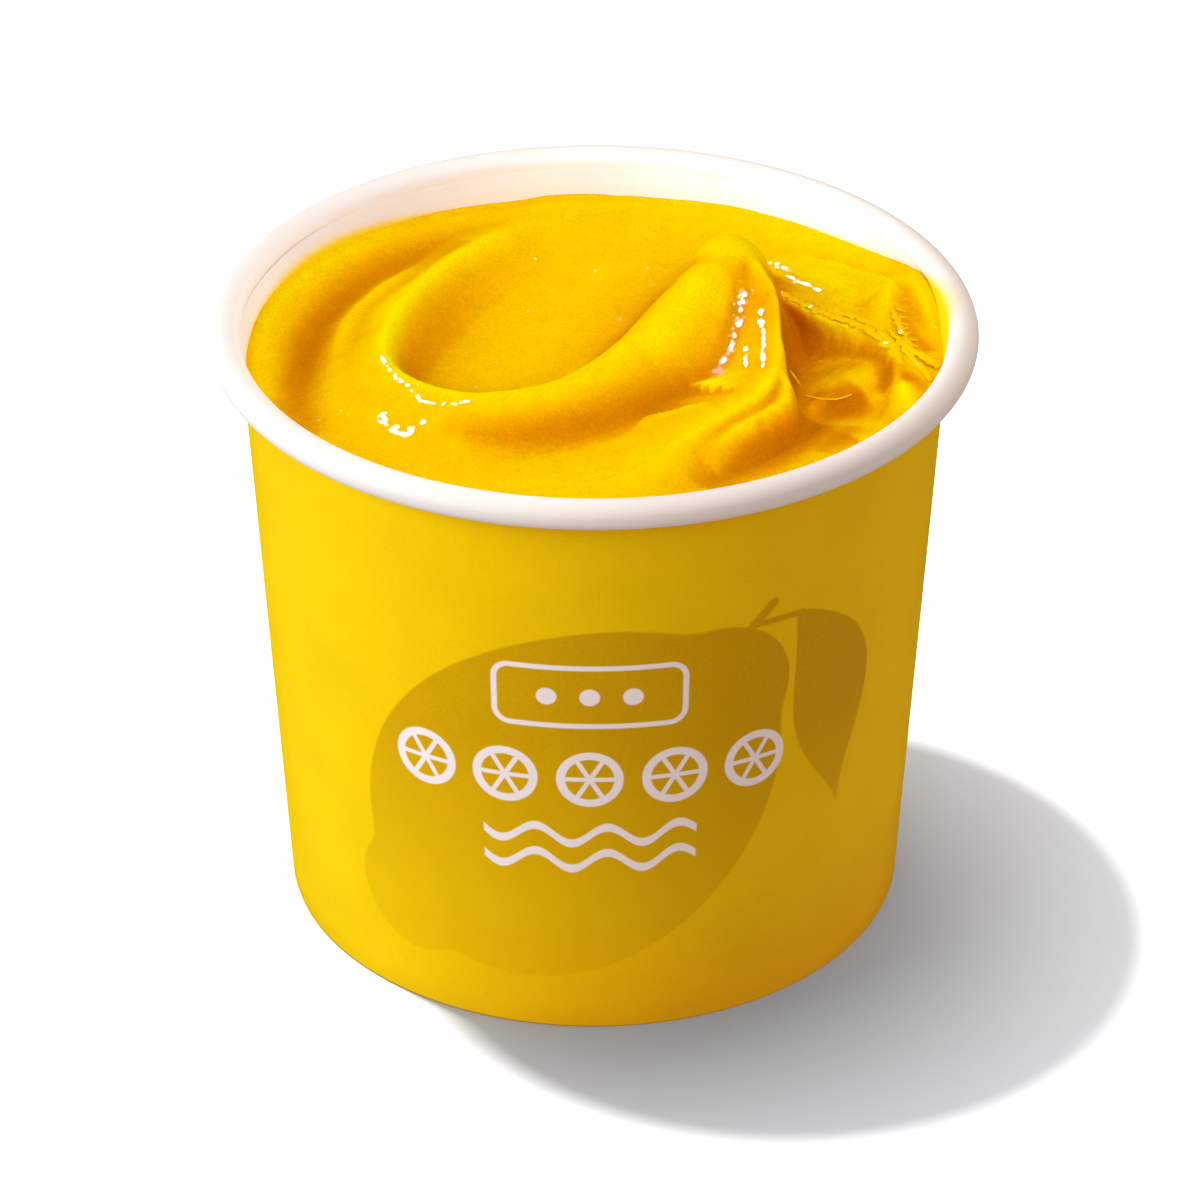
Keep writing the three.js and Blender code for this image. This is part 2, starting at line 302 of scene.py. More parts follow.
@dataclass(eq=False)
class Path:
    """A smooth path over the sorbet, with values that run along it.

    Each row is x, y and the values there. Left and right are as seen along the path.
    """

    rows: Sequence[Sequence[float]]
    steps: int = 12
    ragged: float = 0.0
    seed: int = 0
    torn_width: float = 0.7
    samples: Array = field(init=False)

    def __post_init__(self) -> None:
        """Samples the path: smooth in plan and in its first value, straight otherwise."""
        rows = np.array(self.rows)
        ends = np.vstack([2 * rows[0] - rows[1], rows, 2 * rows[-1] - rows[-2]])
        made = []
        for i in range(1, len(ends) - 2):
            before, start, end, after = ends[i - 1:i + 3]
            for k in range(self.steps):
                t = k / self.steps
                curve = 0.5 * (
                    2 * start + (end - before) * t
                    + (2 * before - 5 * start + 4 * end - after) * t * t
                    + (3 * start - before - 3 * end + after) * t ** 3
                )
                straight = start + (end - start) * t
                made.append(np.concatenate([curve[:3], straight[3:]]))
        self.samples = np.array([*made, rows[-1]])

    def nearest(self, x: Array, y: Array) -> tuple[Array, Array, Array]:
        """Finds the nearest place on the path.

        Args:
            x: Places across.
            y: Places along.

        Returns:
            The distance, positive on the path's left; the path's own values; and the distance
            travelled along the path.
        """
        best = np.full(x.shape, np.inf)
        aside, along = np.zeros(x.shape), np.zeros(x.shape)
        values = np.zeros((*x.shape, self.samples.shape[1] - 2))
        travelled = 0.0
        for a, b in zip(self.samples[:-1], self.samples[1:]):
            dx, dy = b[0] - a[0], b[1] - a[1]
            length = math.hypot(dx, dy)
            t = np.clip(((x - a[0]) * dx + (y - a[1]) * dy) / length ** 2, 0, 1)
            ex, ey = x - a[0] - t * dx, y - a[1] - t * dy
            square = ex * ex + ey * ey
            closer = square < best
            best[closer] = square[closer]
            side = np.where(dx * ey - dy * ex < 0, -1.0, 1.0)
            aside[closer] = (side * np.sqrt(square))[closer]
            along[closer] = (travelled + t * length)[closer]
            values[closer] = (a[2:] + t[..., None] * (b[2:] - a[2:]))[closer]
            travelled += length
        return aside, values, along

    def edge(self, x: Array, y: Array) -> tuple[Array, Array, Array]:
        """The nearest place, as `nearest` gives it, with the path itself torn ragged."""
        aside, values, along = self.nearest(x, y)
        if self.ragged:
            tear = (noise(x / 1.7, y / 1.7, self.seed) + noise(x / 0.6, y / 0.6, self.seed + 1)) / 2
            aside = aside + self.ragged * tear * np.exp(-((aside / self.torn_width) ** 2))
        return aside, values, along


@dataclass(eq=False)
class Ridge(Path):
    """A ridge or a groove: rows of x, y, crest height, slopes left and right, and rounding."""

    change: float = 0.8

    def fall(self, x: Array, y: Array) -> tuple[Array, Array]:
        """Height of the crest nearby, and how far below it the ridge's own side lies."""
        aside, values, _ = self.edge(x, y)
        left = smoothstep(aside, -self.change, self.change)
        slope = values[..., 2] * (1 - left) + values[..., 1] * left
        rounding = values[..., 3]
        return values[..., 0], slope * (np.hypot(aside, rounding) - rounding)


@dataclass(eq=False)
class Tear(Path):
    """A fine torn lip on the surface: rows of x, y, rise, and its reach left and right."""

    def lift(self, x: Array, y: Array) -> Array:
        """How far the lip stands above the surface round it."""
        aside, values, along = self.edge(x, y)
        reach = np.where(aside > 0, values[..., 1], values[..., 2])
        end = along.max()
        ends = smoothstep(along, 0.0, 1.5) * (1 - smoothstep(along, end - 1.5, end))
        return values[..., 0] * np.exp(-np.abs(aside) / reach) * ends


@dataclass(eq=False)
class Band(Path):
    """A stretch where something builds up beside a path: rows of x, y, share and reach."""

    def share(self, x: Array, y: Array) -> Array:
        """The share at each place, largest on the path."""
        aside, values, along = self.nearest(x, y)
        end = along.max()
        ends = smoothstep(along, -0.1, 0.8) * (1 - smoothstep(along, end - 0.8, end + 0.1))
        return values[..., 0] * np.exp(-((aside / values[..., 1]) ** 2)) * ends


@dataclass(frozen=True)
class Knob:
    """A blunt round end of a ridge, which falls by `fall` at the distance `half`."""

    x: float
    y: float
    top: float
    half: float
    fall: float = 1.2

    def height(self, x: Array, y: Array) -> Array:
        """Height of the knob's own surface."""
        return self.top - self.fall * (np.hypot(x - self.x, y - self.y) / self.half) ** 3


@dataclass(frozen=True)
class Overhang:
    """A stretch of a ridge whose crest leans out over what lies beside it.

    `push` is how far it leans, `reach` and `drop` how far from the crest and below it that
    fades, and `start` and `end` where along the ridge it begins and ends.
    """

    ridge: Ridge
    push: float
    reach: float
    drop: float
    start: float
    end: float


@dataclass(frozen=True)
class Mound:
    """A round rise of the surface, with its spans across and along."""

    x: float
    y: float
    span_x: float
    span_y: float
    rise: float

    def lift(self, x: Array, y: Array) -> Array:
        """How far it lifts the surface."""
        u, v = (x - self.x) / self.span_x, (y - self.y) / self.span_y
        return self.rise * np.exp(-u * u - v * v)


@dataclass(frozen=True)
class Bowl:
    """A shallow bowl, which rises by `rise_x` and `rise_y` at its spans."""

    x: float
    y: float
    span_x: float
    span_y: float
    floor: float
    rise_x: float
    rise_y: float

    def height(self, x: Array, y: Array) -> Array:
        """Height of the bowl's own surface."""
        across, along = (x - self.x) / self.span_x, (y - self.y) / self.span_y
        return self.floor + self.rise_x * across ** 2 + self.rise_y * along ** 2


@dataclass(frozen=True)
class Pit:
    """The pit under the flap: a flat floor with a slope on each side, and a mound in front."""

    x: float = 20.0
    y: float = 6.0
    floor: float = 54.2
    flat: float = 2.5
    east_slope: float = 0.3
    west_slope: float = 1.2
    front_slope: float = 0.13
    back_slope: float = 1.5
    mound: Mound = Mound(22.4, -3.0, 3.2, 2.4, 0.4)

    def height(self, x: Array, y: Array, behind: Array) -> Array:
        """Height of the pit's own surface.

        Args:
            x: Places across.
            y: Places along.
            behind: How far each place lies behind the flap's edge.

        Returns:
            The height at each place.
        """
        east, west = np.maximum(x - self.x, 0), np.maximum(self.x - self.flat - x, 0)
        side = self.east_slope * east + self.west_slope * west
        front = self.front_slope * np.maximum(self.y - y, 0)
        back = self.back_slope * np.maximum(behind, 0)
        return self.floor + side + front + back + self.mound.lift(x, y)


@dataclass
class SwirlSurface:
    """Height of the sorbet's top, in millimetres, as a spoon left it."""

    level: float = 57.1
    wall_level: float = 56.6
    wall_rises: Sequence[tuple[float, float, float]] = ((5, 25, 4.9), (52, 30, 0.9), (145, 30, 2.1))
    wall_zone: tuple[float, float] = (22.0, 33.2)
    wall_radius: float = 33.0
    hollow: Bowl = Bowl(-8.0, 3.0, 12.0, 13.0, floor=55.7, rise_x=0.8, rise_y=0.9)
    back_shelf: Mound = Mound(2.0, 27.0, 12.0, 6.0, rise=0.9)
    pit: Pit = Pit()
    tip: Knob = Knob(13.2, 9.5, 65.1, 2.9)

    # The crest of the spoon's swirl, from the back round the left and up to the peak.
    swirl: Ridge = Ridge([
        [-2.6, 27.6, 57.9, 0.3, 0.2, 2.0], [-8.4, 24.8, 58.4, 0.5, 0.6, 1.4],
        [-13.6, 18.4, 58.9, 0.7, 0.8, 1.0], [-17.4, 10.6, 59.4, 1.0, 0.85, 0.8],
        [-19.7, 2.6, 59.7, 1.3, 0.75, 0.7], [-19.9, -4.0, 59.8, 1.6, 0.5, 0.7],
        [-17.4, -8.6, 59.9, 1.8, 0.42, 0.8], [-11.7, -11.9, 60.1, 1.8, 0.5, 1.2],
        [-4.6, -11.2, 60.5, 1.8, 1.1, 2.8], [0.6, -8.2, 61.2, 1.9, 1.55, 4.2],
        [5.2, -3.2, 62.2, 2.1, 1.8, 5.0], [9.0, 2.8, 63.5, 2.3, 2.0, 5.4],
        [11.7, 7.2, 64.3, 2.5, 2.3, 5.6], [13.2, 9.6, 64.6, 2.6, 2.4, 5.6],
    ])

    # The lip of the face below the peak, and the fold that runs on from it to the front.
    lobe: Ridge = Ridge([
        [13.2, 9.6, 64.6, 3.2, 2.2, 5.2], [15.7, 7.0, 64.1, 6.0, 1.6, 2.4],
        [16.9, 2.6, 63.0, 8.0, 1.0, 0.9], [17.2, -2.5, 61.4, 8.0, 0.75, 0.7],
        [17.3, -6.4, 60.2, 3.5, 0.55, 0.9], [15.6, -10.2, 59.4, 2.0, 0.42, 1.4],
        [11.6, -14.0, 58.8, 1.7, 0.36, 1.5], [7.6, -17.9, 58.2, 1.0, 0.3, 1.8],
        [4.2, -22.6, 57.6, 0.6, 0.24, 2.2], [1.5, -26.2, 57.1, 0.3, 0.15, 3.0],
    ])

    # The torn edge of the flap behind the pit.
    ledge: Ridge = Ridge([
        [9.0, 19.0, 56.8, 0.12, 0.15, 2.0], [13.5, 14.5, 58.6, 0.12, 0.5, 1.5],
        [16.4, 11.6, 59.2, 0.12, 1.5, 0.8], [17.9, 10.2, 59.3, 0.1, 5.0, 0.4],
        [20.3, 7.8, 59.3, 0.1, 6.0, 0.35], [22.6, 5.7, 59.2, 0.08, 6.0, 0.35],
        [26.8, 2.3, 59.0, 0.06, 6.0, 0.35], [28.6, -0.8, 58.8, 0.06, 4.5, 0.4],
        [29.3, -4.7, 58.5, 0.15, 2.2, 0.5], [30.0, -8.5, 57.8, 0.3, 0.9, 0.6],
        [31.3, -12.5, 57.2, 0.2, 0.5, 1.0],
    ])

    # The ragged shoulder below the lip, on the pit's side.
    skirt: Ridge = Ridge([
        [17.4, -2.0, 60.4, 5.0, 0.5, 0.4], [17.9, -5.4, 59.9, 4.0, 0.2, 0.4],
        [18.5, -8.6, 59.2, 3.6, 0.12, 0.4], [18.1, -10.8, 58.8, 3.2, 0.1, 0.4],
        [16.2, -12.6, 58.5, 2.6, 0.1, 0.4], [13.4, -14.8, 58.2, 1.7, 0.12, 0.6],
        [10.2, -17.6, 57.4, 0.7, 0.12, 1.0],
    ], ragged=0.5, seed=31)

    # The groove between the swirl and the strip that clings to the wall.
    side_groove: Ridge = Ridge([
        [-8.0, 29.4, 57.4, 0.3, 0.2, 1.5], [-14.5, 26.1, 56.7, 0.5, 0.35, 1.5],
        [-18.7, 22.4, 56.0, 0.7, 0.5, 1.5], [-23.2, 17.4, 55.6, 0.85, 0.6, 1.4],
        [-26.5, 11.1, 55.3, 0.9, 0.7, 1.3], [-27.7, 6.4, 55.0, 0.9, 0.75, 1.2],
        [-28.1, 1.3, 54.9, 0.9, 0.7, 1.2], [-28.0, -3.6, 55.0, 0.8, 0.6, 1.3],
        [-27.4, -9.7, 55.6, 0.5, 0.45, 1.5], [-24.8, -14.6, 56.8, 0.25, 0.25, 2.0],
    ])

    # The short groove that parts the flap's torn end from the strip at the wall.
    flap_groove: Ridge = Ridge([
        [28.6, 14.6, 61.2, 0.3, 0.3, 1.6], [29.8, 11.0, 60.0, 0.5, 0.5, 1.2],
        [30.6, 7.4, 58.9, 0.8, 0.7, 0.8], [31.2, 3.4, 58.0, 1.0, 0.9, 0.7],
        [31.9, 0.0, 57.6, 0.8, 0.9, 0.7], [32.6, -3.6, 57.3, 0.6, 0.7, 0.7],
    ], ragged=0.25, seed=41, change=0.3)

    # The shaded trough in front of the lip's ragged shoulder.
    front_groove: Ridge = Ridge([
        [29.0, -6.5, 56.2, 0.2, 0.3, 1.6], [25.6, -7.9, 55.6, 0.2, 0.7, 1.2],
        [21.5, -8.9, 55.2, 0.2, 1.1, 1.0], [19.4, -12.2, 55.1, 0.2, 1.4, 0.9],
        [16.4, -16.0, 55.2, 0.2, 1.2, 0.9], [12.5, -19.2, 55.6, 0.15, 0.9, 1.0],
        [8.0, -24.0, 56.5, 0.12, 0.3, 1.6],
    ])
    drag_height: float = 0.03
    lump_heights: tuple[float, float] = (0.035, 0.02)
    pleat_pitch: float = 0.55
    pleat_height: float = 0.12
    crumbled: Band = Band([
        [18.4, 7.0, 0.6, 2.2], [20.6, 4.4, 1.0, 3.2], [23.4, 0.4, 1.0, 4.2], [26.0, -2.0, 0.8, 3.0]
    ])
    crumb_height: float = 0.16

    # Torn lips: under the lip of the face, at the pit's front, and across the flap.
    tears: Sequence[Tear] = (
        Tear([[3.4, -14.2, 0.2, 0.25, 1.5], [5.4, -11.9, 0.4, 0.15, 1.8], [8.8, -10.9, 0.4, 0.15, 2.0],
              [11.6, -10.0, 0.2, 0.3, 2.0]], ragged=0.15, seed=51),
        Tear([[20.0, -6.2, 0.1, 0.9, 0.12], [22.0, -6.7, 0.25, 1.2, 0.12], [24.2, -6.0, 0.25, 1.2, 0.12],
              [26.4, -5.1, 0.1, 0.9, 0.2]], ragged=0.1, seed=61),
        Tear([[19.9, 20.6, 0.1, 0.2, 0.6], [24.5, 16.9, 0.28, 0.15, 0.8], [27.9, 12.9, 0.28, 0.15, 0.8],
              [30.5, 8.3, 0.1, 0.2, 0.6]], ragged=0.2, seed=65),
    )

    # Where melt stands: on the swirl's bend, down the face, and on the flap and its torn end.
    films: Sequence[Band] = (
        Band([[-20.9, -2.2, 0.6, 0.35], [-19.5, -6.8, 1.0, 0.4], [-17.6, -9.8, 0.9, 0.4],
              [-16.0, -12.2, 0.9, 0.4], [-13.3, -13.0, 0.95, 0.4], [-10.4, -12.8, 0.7, 0.4]]),
        Band([[-20.4, -11.8, 0.9, 0.9], [-19.4, -14.0, 1.0, 1.0], [-17.6, -15.6, 1.0, 0.9],
              [-15.4, -13.8, 0.5, 0.8]]),
        Band([[14.4, 5.0, 1.1, 1.2], [13.4, 0.8, 0.95, 1.7], [12.2, -3.4, 0.9, 1.8],
              [10.8, -7.0, 0.8, 1.4]]),
        Band([[15.7, 1.8, 1.1, 0.4], [15.9, -2.2, 1.0, 0.36], [16.0, -7.2, 0.9, 0.3]]),
        Band([[14.5, -1.6, 0.95, 0.45], [14.5, -6.0, 0.9, 0.45]]),
        Band([[16.8, 18.6, 0.85, 1.0], [18.7, 16.4, 0.9, 0.9], [19.6, 14.8, 0.8, 0.7]]),
        Band([[18.4, 14.3, 1.0, 0.5], [20.3, 12.5, 1.1, 0.6], [22.6, 10.3, 1.0, 0.5]]),
        Band([[23.0, 11.0, 0.75, 0.4], [25.6, 10.4, 0.75, 0.4]]),
        Band([[29.6, 10.2, 0.9, 0.4], [30.5, 8.0, 0.9, 0.4]]),
        Band([[26.6, -2.9, 0.9, 0.3], [27.3, -5.0, 0.9, 0.3]]),
    )

    # Painted shade (above 0) and painted light (below 0): bands where the colour is made deeper or paler
    # than the shape alone makes it.
    shade_bands: Sequence[Band] = (
        Band([[-26.4, -14.0, 0.1, 1.4], [-28.0, -8.2, 0.24, 1.6], [-28.0, -1.6, 0.3, 1.7],
              [-28.0, 4.5, 0.3, 1.7], [-26.6, 11.1, 0.3, 1.7], [-23.4, 17.4, 0.26, 1.8],
              [-18.8, 22.9, 0.22, 1.9], [-13.5, 25.6, 0.14, 1.9], [-8.0, 27.6, 0.05, 1.8]]),
        Band([[-30.6, -6.0, -0.06, 1.3], [-31.5, 2.8, -0.1, 1.4], [-30.4, 10.4, -0.12, 1.5],
              [-28.2, 16.5, -0.12, 1.5], [-24.9, 21.6, -0.08, 1.5], [-18.0, 27.0, -0.02, 1.4]]),
        Band([[-20.1, -4.6, -0.06, 1.0], [-19.7, 0.1, -0.12, 1.1], [-18.8, 7.5, -0.08, 1.2],
              [-15.2, 15.2, -0.06, 1.3], [-10.4, 21.3, -0.08, 1.4], [-7.4, 25.1, 0.04, 1.4]]),
        Band([[-14.5, -15.4, 0.05, 1.3], [-9.8, -16.3, 0.2, 1.6], [-6.0, -16.0, 0.26, 1.7],
              [-2.3, -14.8, 0.26, 1.7], [1.5, -12.8, 0.24, 1.6], [5.3, -9.9, 0.2, 1.5],
              [9.2, -6.3, 0.1, 1.3]]),
        Band([[13.7, 6.8, -0.1, 1.6], [13.3, 4.3, -0.2, 1.7], [13.1, 1.4, -0.18, 1.8],
              [12.9, -1.5, -0.18, 1.9], [12.2, -5.4, -0.16, 1.9], [10.1, -7.9, -0.14, 1.7]]),
        Band([[15.0, 6.6, 0.1, 0.9], [16.2, 3.8, 0.26, 1.1], [16.6, 0.4, 0.28, 1.1],
              [16.8, -3.4, 0.16, 1.0], [17.0, -7.4, 0.1, 1.0]]),
        Band([[20.4, 7.2, -0.08, 1.0], [22.0, 5.2, -0.26, 1.3], [24.6, 3.0, -0.34, 1.4],
              [26.8, 1.0, -0.2, 1.2], [28.0, -1.4, -0.04, 1.0]]),
        Band([[-21.4, 3.0, -0.04, 1.2], [-20.3, 9.6, -0.22, 1.3], [-17.9, 14.4, -0.1, 1.2]]),
        Band([[-20.4, 18.6, 0.08, 1.5], [-16.8, 20.6, 0.2, 1.7], [-12.6, 23.6, 0.14, 1.7]]),
        Band([[-5.4, -5.6, -0.12, 1.8], [-0.6, -2.4, -0.2, 2.2], [3.6, 2.4, -0.12, 2.2]]),
        Band([[4.8, -6.6, -0.1, 1.6], [8.8, -1.4, -0.14, 1.8], [11.2, 4.6, -0.1, 1.6]]),
        Band([[17.2, 19.6, -0.1, 2.6], [20.4, 15.8, -0.14, 3.2], [24.2, 12.8, -0.2, 3.4],
              [27.4, 9.0, -0.14, 2.4]]),
        Band([[18.4, 7.2, 0.1, 2.0], [20.4, 5.0, 0.0, 2.4], [22.4, 3.2, -0.1, 2.6],
              [25.2, 1.4, -0.06, 2.4]]),
        Band([[20.6, -5.0, 0.2, 1.2], [22.6, -6.4, 0.56, 1.6], [24.8, -6.0, 0.74, 1.8],
              [26.2, -5.4, 0.36, 1.1]]),
        Band([[27.8, -4.8, -0.4, 1.2], [28.1, -8.6, -0.12, 1.6], [26.6, -12.0, -0.08, 2.0]]),
        Band([[28.9, -5.4, 0.4, 0.9], [30.6, -5.8, 0.34, 0.9], [31.6, -7.6, 0.1, 0.8]]),
        Band([[21.4, -8.8, 0.66, 1.7], [19.6, -12.4, 0.34, 1.6], [17.2, -15.6, 0.34, 1.8],
              [14.0, -19.2, 0.26, 1.8], [10.4, -23.4, 0.26, 2.0]]),
        Band([[28.4, -1.4, 0.16, 0.9], [29.0, -3.2, 0.34, 1.0], [29.5, -6.4, 0.34, 1.0]]),
        Band([[24.8, -10.0, 0.16, 1.4], [23.5, -12.5, 0.34, 1.6], [21.4, -15.6, 0.16, 1.6]]),
        Band([[29.7, 7.8, -0.12, 0.8], [30.4, 4.5, 0.16, 0.8], [31.5, 1.0, 0.34, 0.8],
              [32.4, -1.2, 0.44, 0.8]]),
    )

    def at_wall(self, angle: Array) -> Array:
        """Height where the sorbet meets the wall, in a direction."""
        level = np.full(np.shape(angle), self.wall_level)
        for direction, spread, rise in self.wall_rises:
            turn = (np.degrees(angle) - direction + 180) % 360 - 180
            level = level + rise * np.exp(-((turn / spread) ** 2))
        return level

    def height(self, x: Array, y: Array) -> Array:
        """Height of the smooth surface.

        Args:
            x: Places across.
            y: Places along.

        Returns:
            The height at each place.
        """
        share = smoothstep(np.hypot(x, y), *self.wall_zone)
        z = self.level * (1 - share) + self.at_wall(np.arctan2(y, x)) * share
        grooves = ((self.side_groove, 0.8), (self.flap_groove, 0.4), (self.front_groove, 0.8))
        for groove, width in grooves:
            crest, fall = groove.fall(x, y)
            z = soft_min(z, crest + fall, width)
        z = soft_min(z + self.back_shelf.lift(x, y), self.hollow.height(x, y), 1.0)
        behind, _, _ = self.ledge.nearest(x, y)
        z = soft_min(z, self.pit.height(x, y, behind), 0.8)
        ridges = ((self.ledge, 0.4), (self.swirl, 1.4), (self.lobe, 1.4), (self.skirt, 0.5))
        for ridge, width in ridges:
            crest, fall = ridge.fall(x, y)
            z = soft_max(z, crest - fall, width)
        z = soft_max(z, self.tip.height(x, y), 1.0)
        for tear in self.tears:
            z = z + tear.lift(x, y)
        return z

    def relief(self, x: Array, y: Array) -> Array:
        """Fine relief: drag lines that follow the swirl, lumps of pulp, and the flap's taffy pleats."""
        aside, _, along = self.swirl.nearest(x, y)
        drag = noise(aside / 1.1, along / 16.0, 3) * self.drag_height
        coarse, fine = self.lump_heights
        lumps = noise(x / 1.9, y / 1.9, 5) * coarse + noise(x / 0.6, y / 0.6, 6) * fine
        behind, _, along = self.ledge.nearest(x, y)
        on_flap = smoothstep(behind, 0.1, 0.5) * (1 - smoothstep(behind, 3.5, 6.0))
        stretch = smoothstep(along, 8.0, 14.0) * (1 - smoothstep(along, 27.0, 30.0))
        bend = 0.7 * noise(along / 2.6, behind / 2.0, 8)
        pleats = noise(behind / self.pleat_pitch + bend, along / 4.5, 9) * self.pleat_height
        crumbs = noise(x / 1.1, y / 1.1, 10) + 0.6 * noise(x / 0.45, y / 0.45, 11)
        crumbs = crumbs * self.crumb_height * self.crumbled.share(x, y)
        return drag + lumps + crumbs + pleats * on_flap * stretch

    def wetness(self, x: Array, y: Array) -> Array:
        """How much melt stands on the surface, from 0 to 1."""
        wet = np.zeros(np.shape(x))
        for film in self.films:
            wet = np.maximum(wet, film.share(x, y))
        return wet

    def depth(self, x: Array, y: Array) -> Array:
        """Painted shade, and painted light below 0: how much deeper in colour than its shape alone makes
        it each place is.
        """
        return sum(band.share(x, y) for band in self.shade_bands)

    def overhangs(self) -> tuple[Overhang, ...]:
        """The crests that lean out over the pit: the flap's edge, and the lip of the face."""
        return (
            Overhang(self.ledge, push=-0.8, reach=1.4, drop=2.6, start=10.5, end=24.0),
            Overhang(self.lobe, push=0.5, reach=1.8, drop=4.0, start=4.0, end=18.0),
        )


# ---- Finishes ---------------------------------------------------------------------------


@dataclass(frozen=True)
class Artwork:
    """The print's shapes, on its own plane: millimetres round the wall from the front, and up.

    A shape starts as a signed distance in millimetres, below 0 inside, and ends as ink: a node
    that gives 1 inside and 0 outside.
    """

    add: Adder
    plane: bpy.types.Node
    middle: float = -0.4
    sharp: float = 0.07
    blur: float = 0.12
    lemon_centre: Place = (-2.6, 26.4)
    lemon_turn: float = math.radians(40)
    lemon_half: Place = (23.0, 18.4)
    tip_half: Place = (4.6, 6.0)
    tip_places: tuple[float, float] = (-1.0, 0.93)
    tip_blend: float = 4.0
    leaf_ends: tuple[Place, Place] = ((19.6, 45.6), (27.3, 17.6))
    leaf_width: float = 0.44
    leaf_bend: float = -0.67
    leaf_inset: float = 0.15
    stalks: Sequence[tuple[Place, Place, float]] = (
        ((13.2, 43.6), (17.0, 47.4), 0.5),
        ((15.0, 45.4), (20.2, 45.2), 0.35),
    )
    badge_height: float = 39.4
    badge_half: Place = (8.9, 3.3)
    badge_corner: float = 1.5
    badge_line: float = 0.55
    dot_pitch: float = 4.0
    dot_radius: float = 0.95
    wheel_height: float = 29.9
    wheel_radius: float = 2.75
    wheel_pitch: float = 8.1
    wheel_count: int = 5
    wheel_line: float = 0.85
    spoke_line: float = 0.4675
    spokes: int = 6
    wave_heights: tuple[float, float] = (23.3, 20.3)
    wave_length: float = 6.9
    wave_swing: float = 0.95
    wave_phase: float = 0.4
    wave_line: float = 0.95
    wave_reach: float = 10.35

    def own_space(self, centre: Place, turn: float = 0.0, scale: Place = (1.0, 1.0)) -> bpy.types.Node:
        """Moves the plane to a shape's own centre, turn and scale."""
        place = (self.plane, (*centre, 0.0), (0.0, 0.0, turn), (*scale, 1.0))
        return self.add("Mapping", place, vector_type="TEXTURE")

    def bar(self, centre: Place, half: Place, corner: float, turn: float = 0.0) -> bpy.types.Node:
        """Adds the distance to a bar with round corners.

        Args:
            centre: The bar's centre.
            half: Half its length and half its width, corners included.
            corner: The corners' radius.
            turn: The bar's turn, in radians.

        Returns:
            The distance.
        """
        folded = self.add("VectorMath", (self.own_space(centre, turn),), operation="ABSOLUTE")
        core = (half[0] - corner, half[1] - corner, 0.0)
        past = self.add("VectorMath", (folded, core), operation="SUBTRACT")
        outside = self.add("VectorMath", (past,), operation="MAXIMUM")
        length = self.add("VectorMath", (outside,), operation="LENGTH").outputs["Value"]
        across, up, _ = self.add("SeparateXYZ", (past,)).outputs
        deepest = self.add("Math", (across, up), operation="MAXIMUM")
        inside = self.add("Math", (deepest, 0.0), operation="MINIMUM")
        both = self.add("Math", (length, inside), operation="ADD")
        return self.add("Math", (both, corner), operation="SUBTRACT")

    def ink(self, distance: bpy.types.Node, soft: float) -> bpy.types.Node:
        """Fills a shape with ink whose edge is `soft` millimetres wide on each side."""
        return self.add("MapRange", (distance, soft, -soft))

    def stroke(self, distance: bpy.types.Node, width: float) -> bpy.types.Node:
        """Inks a line of a width along a shape's outline."""
        away = self.add("Math", (distance,), operation="ABSOLUTE")
        edge = self.add("Math", (away, width / 2), operation="SUBTRACT")
        return self.ink(edge, self.sharp)

    def join(self, first: bpy.types.Node, *others: bpy.types.Node) -> bpy.types.Node:
        """Lays several inks over each other."""
        for ink in others:
            first = self.add("Math", (first, ink), operation="MAXIMUM")
        return first

    def lemon(self) -> bpy.types.Node:
        """A flat lemon: an oval with a blunt tip at each end, run together smoothly."""
        ovals = [(0.0, self.lemon_half), *((place, self.tip_half) for place in self.tip_places)]
        distances = []
        for place, half in ovals:
            shift = self.lemon_half[0] * place
            across = self.lemon_centre[0] + math.cos(self.lemon_turn) * shift
            up = self.lemon_centre[1] + math.sin(self.lemon_turn) * shift
            own = self.own_space((across, up), self.lemon_turn, half)
            length = self.add("VectorMath", (own,), operation="LENGTH").outputs["Value"]
            past = self.add("Math", (length, 1.0), operation="SUBTRACT")
            distances.append(self.add("Math", (past, half[1]), operation="MULTIPLY"))
        fruit, *tips = distances
        for tip in tips:
            fruit = self.add("Math", (fruit, tip, self.tip_blend), operation="SMOOTH_MIN")
        return self.ink(fruit, self.blur)

    def leaf(self) -> bpy.types.Node:
        """A pointed leaf that hangs beside the lemon, wider near its stalk and slightly bent.

        At a share t of its length, its half width goes with t^0.75 (1 - t^3)^3.2, and its middle
        lies aside by a share of t (1 - t)^2.5.
        """
        start, span = self.leaf_ends[0], Vector(self.leaf_ends[1]) - Vector(self.leaf_ends[0])
        own = self.own_space(start, math.atan2(span.y, span.x), (span.length, span.length))
        across, up, _ = self.add("SeparateXYZ", (own,)).outputs
        along = self.add("Clamp", (across,))
        cube = self.add("Math", (along, 3.0), operation="POWER")
        rest = self.add("Math", (1.0, cube), operation="SUBTRACT")
        drop = self.add("Math", (rest, 3.2), operation="POWER")
        rise = self.add("Math", (along, 0.75), operation="POWER")
        width = self.add("Math", (rise, drop), operation="MULTIPLY")
        half = self.add("Math", (width, self.leaf_width), operation="MULTIPLY")
        left = self.add("Math", (1.0, along), operation="SUBTRACT")
        swing = self.add("Math", (left, 2.5), operation="POWER")
        arch = self.add("Math", (along, swing), operation="MULTIPLY")
        bent = self.add("Math", (arch, self.leaf_bend, up), operation="MULTIPLY_ADD")
        away = self.add("Math", (bent,), operation="ABSOLUTE")
        past = self.add("Math", (away, half), operation="SUBTRACT")
        distance = self.add("Math", (past, span.length, self.leaf_inset), operation="MULTIPLY_ADD")
        return self.ink(distance, self.blur)

